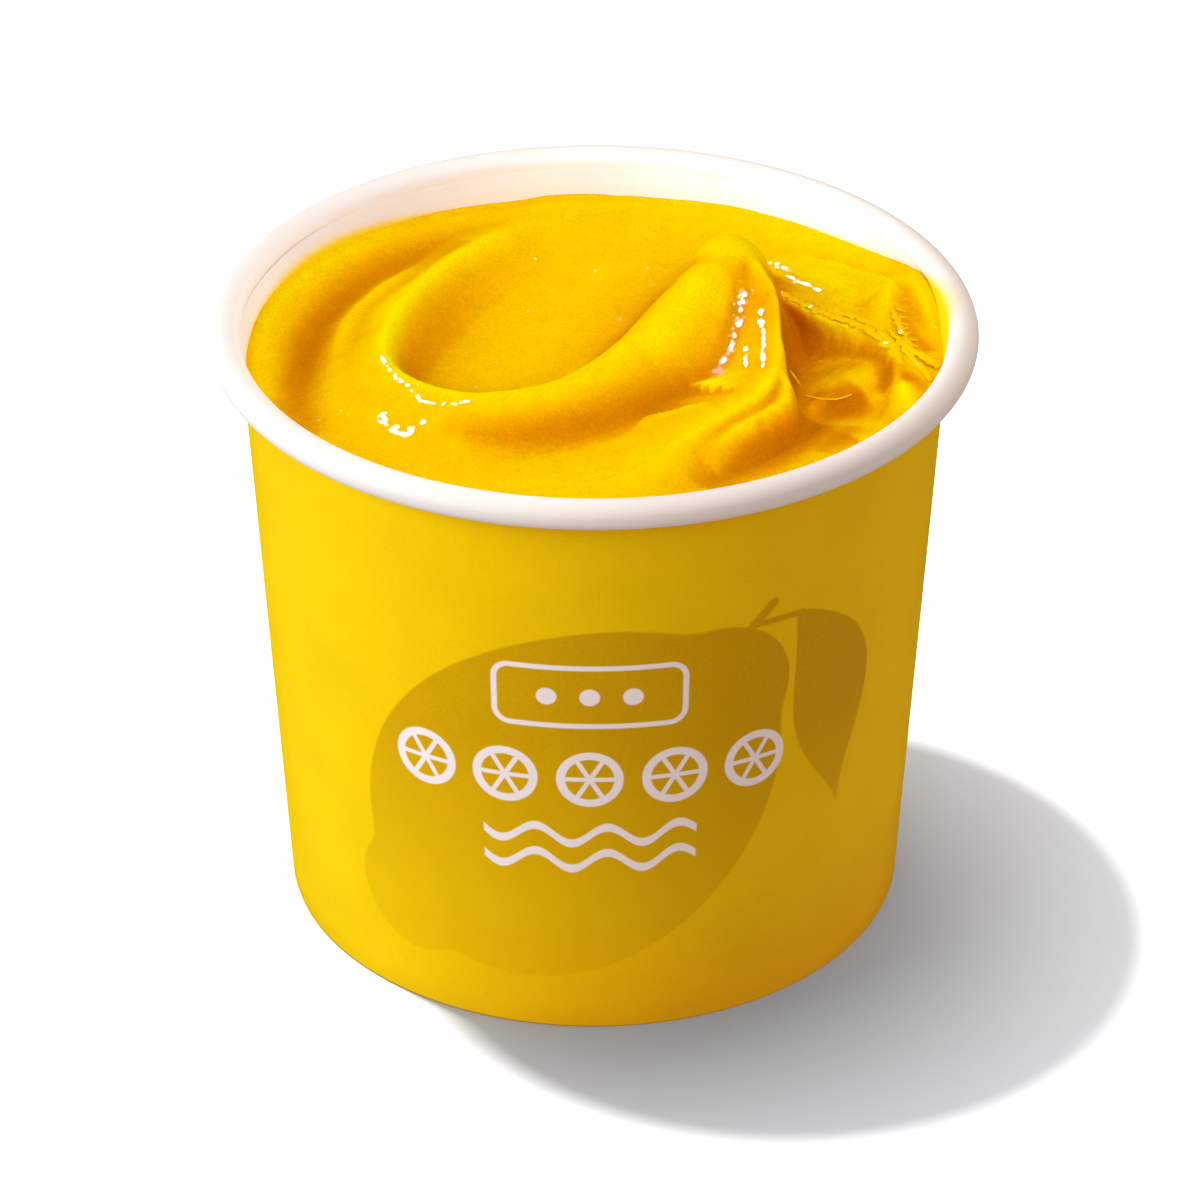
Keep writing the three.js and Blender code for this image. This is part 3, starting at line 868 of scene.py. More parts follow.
    def stalk(self) -> bpy.types.Node:
        """The short forked stalk between the lemon and its leaf."""
        bars = []
        for start, end, half in self.stalks:
            span, centre = Vector(end) - Vector(start), (Vector(start) + Vector(end)) / 2
            size = (span.length / 2 + half, half)
            distance = self.bar(tuple(centre), size, half * 0.98, math.atan2(span.y, span.x))
            bars.append(self.ink(distance, self.blur))
        return self.join(*bars)

    def badge(self) -> bpy.types.Node:
        """A round-cornered outline that holds three dots."""
        outline = self.bar((self.middle, self.badge_height), self.badge_half, self.badge_corner)
        dots = []
        for i in (-1, 0, 1):
            centre = (self.middle + self.dot_pitch * i, self.badge_height)
            dot = self.bar(centre, (self.dot_radius, self.dot_radius), self.dot_radius * 0.999)
            dots.append(self.ink(dot, self.sharp))
        return self.join(self.stroke(outline, self.badge_line), *dots)

    def wheels(self) -> bpy.types.Node:
        """A row of cut citrus rounds, each a ring with spokes."""
        centre, pitch = (self.middle, self.wheel_height), self.wheel_pitch
        across, up, _ = self.add("SeparateXYZ", (self.own_space(centre),)).outputs
        across = self.add("Math", (across, pitch / 2, -pitch / 2), operation="WRAP")
        cell = self.add("CombineXYZ", (across, up))
        reach = self.add("VectorMath", (cell,), operation="LENGTH").outputs["Value"]
        ring = self.add("Math", (reach, self.wheel_radius), operation="SUBTRACT")
        angle = self.add("Math", (up, across), operation="ARCTAN2")
        half_turn = math.pi / self.spokes
        folded = self.add("Math", (angle, half_turn, -half_turn), operation="WRAP")
        swing = self.add("Math", (folded,), operation="SINE")
        aside = self.add("Math", (swing, reach), operation="MULTIPLY")
        spokes, within = self.stroke(aside, self.spoke_line), self.ink(ring, self.sharp)
        cut = self.add("Math", (spokes, within), operation="MULTIPLY")
        wheel = self.join(self.stroke(ring, self.wheel_line), cut)
        row = self.bar(centre, (pitch * self.wheel_count / 2, pitch / 2), 0.01)
        return self.add("Math", (wheel, self.ink(row, self.sharp)), operation="MULTIPLY")

    def waves(self) -> bpy.types.Node:
        """Two wavy strokes under the row of rounds."""
        across, up, _ = self.add("SeparateXYZ", (self.plane,)).outputs
        pace = TURN / self.wave_length
        phase = self.add("Math", (across, pace, self.wave_phase), operation="MULTIPLY_ADD")
        sine = self.add("Math", (phase,), operation="SINE")
        lines = []
        for height in self.wave_heights:
            line = self.add("Math", (sine, self.wave_swing, height), operation="MULTIPLY_ADD")
            aside = self.add("Math", (up, line), operation="SUBTRACT")
            lines.append(self.stroke(aside, self.wave_line))
        centre = (self.middle, sum(self.wave_heights) / 2)
        ends = self.ink(self.bar(centre, (self.wave_reach, 4.0), 0.01), self.sharp)
        return self.add("Math", (self.join(*lines), ends), operation="MULTIPLY")


@dataclass(frozen=True)
class PrintedBoard:
    """Coated paperboard, printed in yellow: a satin face with the fine stipple of the press.

    The ground is painted darker and orange near the foot, under the rim and round the side away
    from the lamps: painted shade. The fruit's ochre thins out towards the foot. A ramp is two
    millimetre marks and the shares there.
    """

    name: str = "printed_paperboard"
    yellow: str = "facf00"
    # Painted shade: the orange that the ground darkens to.
    shade_orange: str = "f2ac00"
    ochre: str = "c08800"
    pale: str = "fdf0ea"
    roughness: float = 0.46
    specular: float = 0.06
    mean_radius: float = 32.2
    stipple: float = 0.28
    stipple_share: float = 0.16
    cloud: float = 8.333
    fibre: float = 0.4545
    fibre_depth: float = 0.05
    fruit_ramp: Ramp = (4.0, 34.0, 0.12, 0.62)
    # Painted shade ramps: down to the foot, up under the rim, and from the front round to the right side,
    # away from the left lamp.
    foot_shade_ramp: Ramp = (14.0, 0.0, 0.2, 0.85)
    rim_shadow_ramp: Ramp = (57.2, 61.0, 0.0, 0.8)
    side_shade_ramp: Ramp = (-24.0, -2.0, 0.1, 1.0)
    back_side_shade_ramp: Ramp = (50.0, 95.0, 1.0, 0.1)

    def plane(self, add: Adder) -> bpy.types.Node:
        """Adds the print's own plane: millimetres round the wall from the front, and up."""
        across, along, up = add("SeparateXYZ", (add("TexCoord").outputs["Object"],)).outputs
        front = add("Math", (along, -1.0), operation="MULTIPLY")
        angle = add("Math", (across, front), operation="ARCTAN2")
        flat = add("CombineXYZ", (angle, up))
        return add("VectorMath", (flat, (self.mean_radius, 1 / MM, 0.0)), operation="MULTIPLY")

    def make(self) -> bpy.types.Material:
        """Builds the material: the ground, the fruit over it, and the pale marks on top."""
        material, shader = new_material(self.name)
        add = partial(add_node, material)
        plane = self.plane(add)
        across, up, _ = add("SeparateXYZ", (plane,)).outputs
        art = Artwork(add, plane)
        where = add("TexCoord").outputs["Object"]
        grain = add("TexNoise", {"Vector": where, "Scale": 1 / (self.stipple * MM), "Detail": 2.0})
        speckle = add("MapRange", (grain, 0.25, 0.75, -self.stipple_share, self.stipple_share))
        cloud = add("TexNoise", {"Vector": where, "Scale": 1 / (self.cloud * MM), "Detail": 3.0})
        tone = add("MapRange", (cloud, 0.3, 0.7, 0.97, 1.03))
        dotted = add("Math", (speckle, 0.22, tone), operation="MULTIPLY_ADD")
        # Painted shade: the ground darkens to orange near the foot, under the rim's edge and on the side
        # away from the lamps.
        foot, under = add("MapRange", (up, *self.foot_shade_ramp)), add("MapRange", (up, *self.rim_shadow_ramp))
        warm = add("Math", (foot, under), operation="ADD")
        turned, behind = (add("MapRange", (across, *ramp)) for ramp in (self.side_shade_ramp, self.back_side_shade_ramp))
        shaded = add("Math", (turned, behind), operation="MULTIPLY")
        painted_shade_share = add("Math", (warm, shaded), operation="MULTIPLY")
        ink_and_shade = add("MixRGB", (painted_shade_share, linear(self.yellow), linear(self.shade_orange)))
        ground = add("HueSaturation", {"Value": dotted, "Color": ink_and_shade})
        fruit = art.join(art.lemon(), art.leaf(), art.stalk())
        shade = add("Math", (fruit, add("MapRange", (up, *self.fruit_ramp))), operation="MULTIPLY")
        stippled = add("Math", (shade, speckle, shade), operation="MULTIPLY_ADD")
        printed = add("MixRGB", (stippled, ground, linear(self.ochre)))
        marks = art.join(art.badge(), art.wheels(), art.waves())
        marked = add("MixRGB", (marks, printed, linear(self.pale)))
        fibre = {"Vector": where, "Scale": 1 / (self.fibre * MM), "Detail": 4.0, "Roughness": 0.6}
        fibres = add("TexNoise", fibre)
        bump = add("Bump", {"Strength": 0.12, "Distance": self.fibre_depth * MM, "Height": fibres})
        fill(material, shader, {"Base Color": marked, "Normal": bump, "Roughness": self.roughness})
        fill(material, shader, {"IOR": 1.47, "Specular IOR Level": self.specular})
        return material


@dataclass(frozen=True)
class BareBoard:
    """Unprinted white paperboard: matt, slightly warm, with the cloudiness of pressed fibres.

    The curl is the board's raw side, a little warmer and darker than the smooth lining.
    """

    name: str = "bare_paperboard"
    white: str = "f5f2ef"
    shade: str = "efebe7"
    raw: str = "f6ece1"
    stain: str = "f6da00"
    # Painted shadow: the grey of the line along the crease.
    crease_shadow: str = "a89c92"
    roughness: float = 0.62
    cloud: float = 6.0
    fibre: float = 0.5
    fibre_depth: float = 0.05
    smeared: bool = True

    def make(self) -> bpy.types.Material:
        """Builds the material: the board, and on the wall its curl, the crease's painted shadow and
        smears.
        """
        material, shader = new_material(self.name)
        add = partial(add_node, material)
        where = add("TexCoord").outputs["Object"]
        cloud = {"Vector": where, "Scale": 1 / (self.cloud * MM), "Detail": 4.0, "Roughness": 0.6}
        share = add("MapRange", (add("TexNoise", cloud), 0.35, 0.75))
        colour = add("MixRGB", (share, linear(self.white), linear(self.shade)))
        marks = (("curl", self.raw), ("crease", self.crease_shadow), ("smear", self.stain))
        for mark, code in marks if self.smeared else ():
            amount = add("Attribute", attribute_name=mark).outputs["Fac"]
            colour = add("MixRGB", (amount, colour, linear(code)))
        fibres = add("TexNoise", {"Vector": where, "Scale": 1 / (self.fibre * MM), "Detail": 5.0})
        bump = add("Bump", {"Strength": 0.25, "Distance": self.fibre_depth * MM, "Height": fibres})
        fill(material, shader, {"Base Color": colour, "Normal": bump})
        fill(material, shader, {"Roughness": self.roughness, "IOR": 1.45})
        return material


@dataclass(frozen=True)
class FrozenPuree:
    """Churned lemon sorbet: wet and translucent, with ice crystals too fine to see one by one.

    Its colour is painted from lemon on thin crests to dark amber in hollows: painted shade. Where
    melt stands on it, a clear coat breaks up into drops. The crystals are drawn about 0.3 mm apart,
    coarser than they are, so that they show.
    """

    name: str = "churned_sorbet"
    # Painted shade: lemon where the shade mark is low, darker amber where it is high.
    ramp: Sequence[tuple[float, str]] = (
        (0.0, "ffe200"), (0.22, "fdca00"), (0.4, "e9a900"), (0.6, "da8c00"), (0.95, "c47500")
    )
    roughness: float = 0.5
    melt_roughness: float = 0.05
    sheen: str = "ffd000"
    glow: float = 0.5
    glow_depth: float = 1.0
    pulp: float = 2.5
    lump: float = 0.9
    droplet: float = 0.7
    sparkle: float = 0.32
    crystal: float = 0.3

    def make(self) -> bpy.types.Material:
        """Builds the material: its colour, the glow within, the melt on it, and its grain."""
        material, shader = new_material(self.name)
        add = partial(add_node, material)
        where = add("TexCoord").outputs["Object"]
        shade, wet, edge = (
            add("Attribute", attribute_name=name).outputs["Fac"] for name in ("shade", "wet", "edge")
        )
        # Painted shade: the colour comes from the shade mark, darker in hollows.
        ramp = add("ValToRGB", (shade,))
        stops = ramp.color_ramp.elements
        for stop, (place, code) in zip(stops, (self.ramp[0], self.ramp[-1])):
            stop.position, stop.color = place, linear(code)
        for place, code in self.ramp[1:-1]:
            stops.new(place).color = linear(code)
        pulp = {"Vector": where, "Scale": 1 / (self.pulp * MM), "Detail": 5.0, "Roughness": 0.65}
        tone = add("MapRange", (add("TexNoise", pulp), 0.3, 0.7, 0.93, 1.05))
        grain = add("TexNoise", {"Vector": where, "Scale": 1 / (self.crystal * MM), "Detail": 2.0})
        speck = add("MapRange", (grain, 0.3, 0.7, 0.9, 1.08))
        value = add("Math", (tone, speck), operation="MULTIPLY")
        colour = add("HueSaturation", {"Value": value, "Color": ramp})
        fill(material, shader, {
            "Base Color": colour,
            "Subsurface Weight": add("MapRange", (edge, 0.0, 1.0, self.glow, 0.0)),
            "Subsurface Radius": (0.8, 0.8, 0.15),
            "Subsurface Scale": self.glow_depth * MM,
            "Roughness": self.roughness,
            "IOR": 1.36,
            "Specular IOR Level": 0.0,
            "Specular Tint": linear(self.sheen),
        })
        drops = {"Vector": where, "Scale": 1 / (self.droplet * MM), "Detail": 2.0, "Distortion": 0.6}
        film = add("TexNoise", drops)
        broken = add("Math", (film, 1.6, -1.25), operation="MULTIPLY_ADD")
        stands = add("Math", (broken, wet), operation="ADD")
        melt = add("MapRange", (stands, 0.43, 0.48))
        tiny = add("TexNoise", {"Vector": where, "Scale": 1 / (self.sparkle * MM), "Detail": 1.0})
        spark = add("MapRange", (tiny, 0.79, 0.82))
        fill(material, shader, {
            "Coat Weight": add("Math", (melt, spark), operation="MAXIMUM"),
            "Coat Normal": add("Bump", {"Strength": 1.0, "Distance": 0.26 * MM, "Height": film}),
            "Coat Roughness": self.melt_roughness,
            "Coat IOR": 1.5,
        })
        lumps = {"Vector": where, "Scale": 1 / (self.lump * MM), "Detail": 3.0, "Roughness": 0.6}
        coarse = add("Bump", {"Strength": 0.35, "Distance": 0.2 * MM, "Height": add("TexNoise", lumps)})
        fine = {"Strength": 0.3, "Distance": 0.08 * MM, "Height": grain, "Normal": coarse}
        fill(material, shader, {"Normal": add("Bump", fine)})
        return material


@dataclass(frozen=True)
class PaleSweep:
    """The floor: plain matt paper, pale grey so that the lamps alone turn it white."""

    name: str = "pale_sweep"
    grey: str = "b8b8b8"

    def make(self) -> bpy.types.Material:
        """Builds the material."""
        material, shader = new_material(self.name)
        values = {"Base Color": linear(self.grey), "Roughness": 0.9, "Specular IOR Level": 0.2}
        fill(material, shader, values)
        return material


# ---- Pieces -----------------------------------------------------------------------------


class Face(Enum):
    """Which finish a stretch of the wall's section has."""

    PRINTED = 0
    BARE = 1


@dataclass
class PaperCup:
    """The wall with its curled rim, lap seam and knurled hem, and the recessed base."""

    sizes: CupSizes
    surface: SwirlSurface
    columns: int = 480
    seam_angle: float = math.radians(22)
    seam_taper: float = math.radians(75)
    foot_round: float = 0.22
    face_rows: int = 24
    lining_rows: int = 12
    roll_steps: int = 30
    roll_end: float = math.radians(-141)
    fine_from: float = 55.8
    fine_rows: int = 40
    crease: float = 0.14
    crease_depth: float = 0.12
    crease_wobble: float = 0.12
    crease_facing: float = 0.1
    knurls: int = 80
    knurl_depth: float = 0.1
    dish: float = 0.35
    base_columns: int = 192

    def section(self) -> list[tuple[float, float, Face]]:
        """The wall's closed section, up the printed face and down the lining.

        Returns:
            Radius and height of each point, with the finish of the stretch that follows it.
        """
        s = self.sizes
        face = [(s.outer(0) - 0.2, 0.0), (s.outer(0) - 0.06, 0.06)]
        face += [(s.outer(z), z) for z in np.linspace(self.foot_round, s.flare_start, self.face_rows + 1)]
        turn = self.roll_end - math.pi
        curl = [math.pi + turn * i / self.roll_steps for i in range(self.roll_steps + 1)]
        face.append(s.roll_point(curl[0], s.board))
        bare = [s.roll_point(angle, s.board) for angle in curl[1:]]
        bare += [s.roll_point(angle, 0) for angle in reversed(curl)]
        radius, top = s.roll_point(math.pi, 0)
        bare += [(radius + self.crease_depth, top - self.crease), (radius, top - 2 * self.crease)]
        for z in np.linspace(top - 3 * self.crease, self.fine_from, self.fine_rows + 1)[:-1]:
            flare = max(z - s.flare_start, 0) / (top - s.flare_start)
            straight = s.inner(min(z, s.flare_start))
            bare.append((straight + (radius - straight) * flare, z))
        bare += [(s.inner(z), z) for z in np.linspace(self.fine_from, s.board, self.lining_rows + 1)]
        hem_outer, hem_inner = s.inner(0) - s.board, self.hem_radius()
        bare += [(hem_outer, s.board), (hem_outer, s.hem_height), (hem_inner, s.hem_height)]
        bare += [(hem_inner, z) for z in (3.4, 2.2, 1.0, 0.25)]
        bare.append((hem_inner + 0.2, 0.0))
        return [(*point, Face.PRINTED) for point in face] + [(*point, Face.BARE) for point in bare]

    def hem_radius(self) -> float:
        """Radius of the hem's inner face: the wall's edge, folded up inside the base's skirt."""
        return self.sizes.inner(0) - 2 * self.sizes.board

    def crease_height(self) -> float:
        """Height of the crease where the lining turns into the curl."""
        return self.sizes.roll_point(math.pi, 0)[1] - self.crease

    def creased(self, angle: Array) -> Array:
        """Share of the crease that is open in a direction: it shows on the left alone."""
        return smoothstep(-np.cos(angle - self.crease_facing), 0.6, 0.95)

    def lap(self, angle: Array) -> Array:
        """How far the overlapping board lifts the printed face, in a direction."""
        past = (angle - self.seam_angle) % TURN
        return self.sizes.board * np.clip(1 - past / self.seam_taper, 0, 1) ** 1.5

    def turned(self, section: Sequence[tuple[float, float, Face]], angles: Array) -> Array:
        """Turns the section round the cup, with the lap, the knurled hem and the crease.

        Args:
            section: The wall's section.
            angles: Directions of the columns.

        Returns:
            A point for each column and section point.
        """
        points = np.zeros((len(angles), len(section), 3))
        crease, hem = self.crease_height(), self.hem_radius()
        wobble = self.crease_wobble * noise(angles * 5, angles * 0, 14)
        for j, (radius, z, face) in enumerate(section):
            reach, height = np.full(len(angles), radius), np.full(len(angles), z)
            if face is Face.PRINTED and z < self.sizes.flare_start + 0.01:
                reach = reach + self.lap(angles) * smoothstep(height, -0.2, 1.0)
            if abs(radius - hem) < 0.01 and 0.5 < z < 4.0:
                reach = reach - self.knurl_depth * (0.5 + 0.5 * np.cos(angles * self.knurls))
            if radius < self.sizes.rim_radius - 2.0:
                height = height + wobble * math.exp(-((z - crease) / 0.5) ** 2)
                if abs(z - crease) < 0.01:
                    reach = reach - self.crease_depth * (1 - self.creased(angles))
            points[:, j] = np.stack([reach * np.cos(angles), reach * np.sin(angles), height], axis=-1)
        return points

    def stain(self, made: bpy.types.Object, points: Array, heights: Array) -> None:
        """Marks the curl's raw side, the crease's painted shadow, and where sorbet smears the lining.

        Args:
            made: The wall.
            points: Its points, one row each.
            heights: Each point's height in the section.
        """
        across, angle = np.hypot(points[:, 0], points[:, 1]), np.arctan2(points[:, 1], points[:, 0])
        above = points[:, 2] - self.surface.at_wall(angle)
        wet = smoothstep(-np.cos(angle), -0.2, 0.9) + smoothstep(np.cos(angle - 0.35), 0.5, 1.0)
        reach = 0.12 + wet + 0.08 * noise(angle * 9, angle * 0, 12)
        smear = 1 - smoothstep(above / reach, -0.3, 1.0)
        lining = across < self.sizes.rim_radius - 0.5 * self.sizes.roll_width
        store(made, "smear", np.where(lining & (points[:, 2] > 40), smear, 0.0))
        store(made, "curl", smoothstep(across, self.sizes.roll_point(math.pi, 0)[0] - 0.05, 35.0))
        # Painted shadow: a grey line along the crease, on the left.
        in_crease = lining & (np.abs(heights - self.crease_height()) < 0.01)
        uneven = 0.75 + 0.25 * noise(angle * 7, angle * 0, 15)
        store(made, "crease", np.where(in_crease, self.creased(angle) * uneven, 0.0))

    def wall(self, printed: bpy.types.Material, bare: bpy.types.Material) -> bpy.types.Object:
        """Builds the wall.

        Args:
            printed: The printed face's material.
            bare: The lining's and the rim's material.

        Returns:
            The wall.
        """
        section = self.section()
        even = self.seam_angle + TURN * np.arange(self.columns) / self.columns
        angles = np.append(even, self.seam_angle + TURN - 0.1 / self.sizes.foot_radius)
        turns, count = len(angles), len(section)
        points = self.turned(section, angles).reshape(-1, 3)
        faces = []
        for i in range(turns):
            a, b = i * count, (i + 1) % turns * count
            for j in range(count):
                k = (j + 1) % count
                faces.append((a + j, b + j, b + k, a + k))
        slots = [face.value for _, _, face in section] * turns
        made = build_mesh("printed_cup_wall", points, faces, [printed, bare], slots)
        self.stain(made, points, np.tile([z for _, z, _ in section], turns))
        return settle(made, Slot.WALL, "cup_wall")

    def base(self, bare: bpy.types.Material) -> bpy.types.Object:
        """Builds the base: a slightly dished disc whose skirt hangs inside the wall.

        Args:
            bare: The base's material.

        Returns:
            The base.
        """
        s = self.sizes
        low, high = s.base_height, s.base_height + s.board
        outer = s.inner(0) + 0.01
        inner = outer - s.board + 0.01
        section = [(inner * t, low + self.dish * (1 - t ** 2)) for t in np.arange(1, 24) / 24]
        section += [(inner - 0.35, low - 0.02), (inner, low - 0.35), (inner, s.skirt_bottom)]
        section += [(outer, s.skirt_bottom), (outer, low), (outer - 0.2, high)]
        section += [(outer * t, high + self.dish * (1 - t ** 2)) for t in np.arange(11, 0, -1) / 12]
        turns, last = self.base_columns, len(section) - 1
        angles = TURN * np.arange(turns) / turns
        points = [(0.0, 0.0, low + self.dish)]
        for radius, z in section:
            points += [(radius * math.cos(a), radius * math.sin(a), z) for a in angles]
        points.append((0.0, 0.0, high + self.dish))
        faces: list[tuple[int, ...]] = []
        for i in range(turns):
            k = (i + 1) % turns
            faces.append((0, 1 + k, 1 + i))
            faces.append((len(points) - 1, 1 + last * turns + i, 1 + last * turns + k))
            for j in range(last):
                a, b = 1 + j * turns, 1 + (j + 1) * turns
                faces.append((a + i, a + k, b + k, b + i))
        made = build_mesh("recessed_base", np.array(points), faces, [bare])
        return settle(made, Slot.BASE, "cup_base")


@dataclass
class Sorbet:
    """The sorbet: one body under a swirled surface that reaches just into the board."""

    sizes: CupSizes
    surface: SwirlSurface
    cells: int = 310
    sink: float = 0.08
    base_gap: float = 0.4
    open_shade: float = 0.22
    crest_light_share: float = 0.7
    meniscus: float = 0.4
    dense_at: tuple[float, float] = (0.55, 0.05)
    dense_span: float = 0.45
    density: float = 0.35
    sky_cell: float = 0.4
    sky_half: float = 36.0
    sky_turns: int = 16
    sky_steps: Sequence[int] = (1, 2, 3, 4, 6, 8, 11, 15, 20)
    bulge_limits: tuple[float, float] = (-0.25, 0.3)
    wall_edge: tuple[float, float] = (0.93, 0.985)
    meniscus_from: float = 0.98

    def disc(self) -> tuple[Array, Array]:
        """A grid over the unit disc, as x and y, drawn closer together round the peak and the pit."""
        line = np.linspace(-1, 1, self.cells + 1)
        a, b = np.meshgrid(line, line, indexing="ij")
        wide = np.abs(a) > np.abs(b)
        radius = np.where(wide, a, b)
        safe = np.where(radius == 0, 1, radius)
        angle = np.where(wide, np.pi / 4 * b / safe, np.pi / 2 - np.pi / 4 * a / safe)
        x, y = radius * np.cos(angle), radius * np.sin(angle)
        away_x, away_y = x - self.dense_at[0], y - self.dense_at[1]
        pull = self.density * np.exp(-(away_x ** 2 + away_y ** 2) / self.dense_span ** 2)
        pull = pull * smoothstep(1 - np.hypot(x, y), 0.0, 0.35)
        return x - pull * away_x, y - pull * away_y

    def shade(self, x: Array, y: Array) -> Array:
        """Painted shade: how deep and dark in colour each place is made, least on a thin crest, most
        between high sides.

        Args:
            x: Places across.
            y: Places along.

        Returns:
            The share of the sky that the sorbet hides, less where it bulges, from its own grid.
        """
        cell, half, turns = self.sky_cell, self.sky_half, self.sky_turns
        line = np.arange(-half, half + cell, cell)
        gx, gy = np.meshgrid(line, line, indexing="ij")
        reach = np.minimum(self.surface.wall_radius / np.maximum(np.hypot(gx, gy), 1e-6), 1.0)
        heights = self.surface.height(gx * reach, gy * reach)
        hidden = np.zeros(gx.shape)
        for turn in TURN * np.arange(turns) / turns:
            steepest = np.zeros(gx.shape)
            for away in self.sky_steps:
                i, j = round(away * math.cos(turn)), round(away * math.sin(turn))
                if i or j:
                    rise = np.roll(heights, (-i, -j), axis=(0, 1)) - heights
                    steepest = np.maximum(steepest, rise / (cell * math.hypot(i, j)))
            hidden += steepest ** 2 / (1 + steepest ** 2) / turns
        moves = ((3, 0), (0, 3), (-3, 0), (0, -3), (2, 2), (-2, 2), (-2, -2), (2, -2))
        ring = [np.roll(heights, move, axis=(0, 1)) for move in moves]
        bulge = np.clip(heights - sum(ring) / len(ring), *self.bulge_limits)
        hidden = self.open_shade + hidden - self.crest_light_share * bulge
        u, v = (x + half) / cell, (y + half) / cell
        i, j = u.astype(int), v.astype(int)
        u, v = u - i, v - j
        low = hidden[i, j] * (1 - u) + hidden[i + 1, j] * u
        high = hidden[i, j + 1] * (1 - u) + hidden[i + 1, j + 1] * u
        return low * (1 - v) + high * v

    def lean(self, x: Array, y: Array, z: Array) -> tuple[Array, Array]:
        """Leans the overhanging crests out.

        Args:
            x: Places across.
            y: Places along.
            z: The surface's heights there.

        Returns:
            The moved x and y.
        """
        step, moved_x, moved_y = 0.05, x, y
        for hang in self.surface.overhangs():
            aside, values, along = hang.ridge.nearest(x, y)
            east = hang.ridge.nearest(x + step, y)[0] - aside
            north = hang.ridge.nearest(x, y + step)[0] - aside
            size = np.maximum(np.hypot(east, north), 1e-6)
            near = np.exp(-((aside / hang.reach) ** 2))
            high = smoothstep(z - values[..., 0], -hang.drop, 0.0)
            inside = smoothstep(along, hang.start, hang.start + 4)
            inside = inside * (1 - smoothstep(along, hang.end - 4, hang.end))
            push = hang.push * near * high * inside / size
            moved_x, moved_y = moved_x + push * east, moved_y + push * north
        return moved_x, moved_y

    def body(self, finish: bpy.types.Material) -> bpy.types.Object:
        """Builds the sorbet.

        Args:
            finish: The sorbet's material.

        Returns:
            The sorbet.
        """
        u, v = self.disc()
        angle = np.arctan2(v, u)
        reach = self.sizes.inner(self.surface.at_wall(angle)) + self.sink
        x, y = u * reach, v * reach
        z = self.surface.height(x, y) + self.surface.relief(x, y)
        z = z + self.meniscus * smoothstep(np.hypot(u, v), self.meniscus_from, 1.0) ** 2
        # Painted shade: deeper, darker colour in hollows and along the shade bands, with painted light on
        # the crests.
        shade = self.shade(x, y) + self.surface.depth(x, y)
        wet = self.surface.wetness(x, y)
        x, y = self.lean(x, y, z)
        side = self.cells + 1
        points = np.stack([x, y, z], axis=-1).reshape(-1, 3)
        number = np.arange(side * side).reshape(side, side)
        corners = [number[:-1, :-1], number[1:, :-1], number[1:, 1:], number[:-1, 1:]]
        faces = np.stack(corners, axis=-1).reshape(-1, 4).tolist()
        rim = [*number[:-1, 0], *number[-1, :-1], *number[:0:-1, -1], *number[0, :0:-1]]
        bottom_z = self.sizes.base_height + self.sizes.board + self.base_gap
        bottom = []
        for k in rim:
            turn = math.atan2(points[k, 1], points[k, 0])
            radius = self.sizes.inner(bottom_z) + self.sink
            bottom.append((radius * math.cos(turn), radius * math.sin(turn), bottom_z))
        start = len(points)
        points = np.vstack([points, bottom, [[0, 0, bottom_z]]])
        count = len(rim)
        for i in range(count):
            k = (i + 1) % count
            faces.append([rim[i], start + i, start + k, rim[k]])
            faces.append([start + i, start + count, start + k])
        made = build_mesh("swirled_sorbet", points, faces, [finish])
        for polygon in made.data.polygons[self.cells ** 2:]:
            polygon.use_smooth = False
        store(made, "shade", np.concatenate([shade.ravel(), np.full(count + 1, self.open_shade)]))
        store(made, "wet", np.concatenate([wet.ravel(), np.zeros(count + 1)]))
        edge = smoothstep(np.hypot(u, v), *self.wall_edge)
        store(made, "edge", np.concatenate([edge.ravel(), np.ones(count + 1)]))
        return settle(made, Slot.SORBET, "sorbet")


@dataclass(frozen=True)
class Strand:
    """A torn strand: rows of x, y, z and half width along its middle, in millimetres."""

    rows: Sequence[Sequence[float]]
    thick: float = 0.1
    ragged: float = 0.4
    seed: int = 0


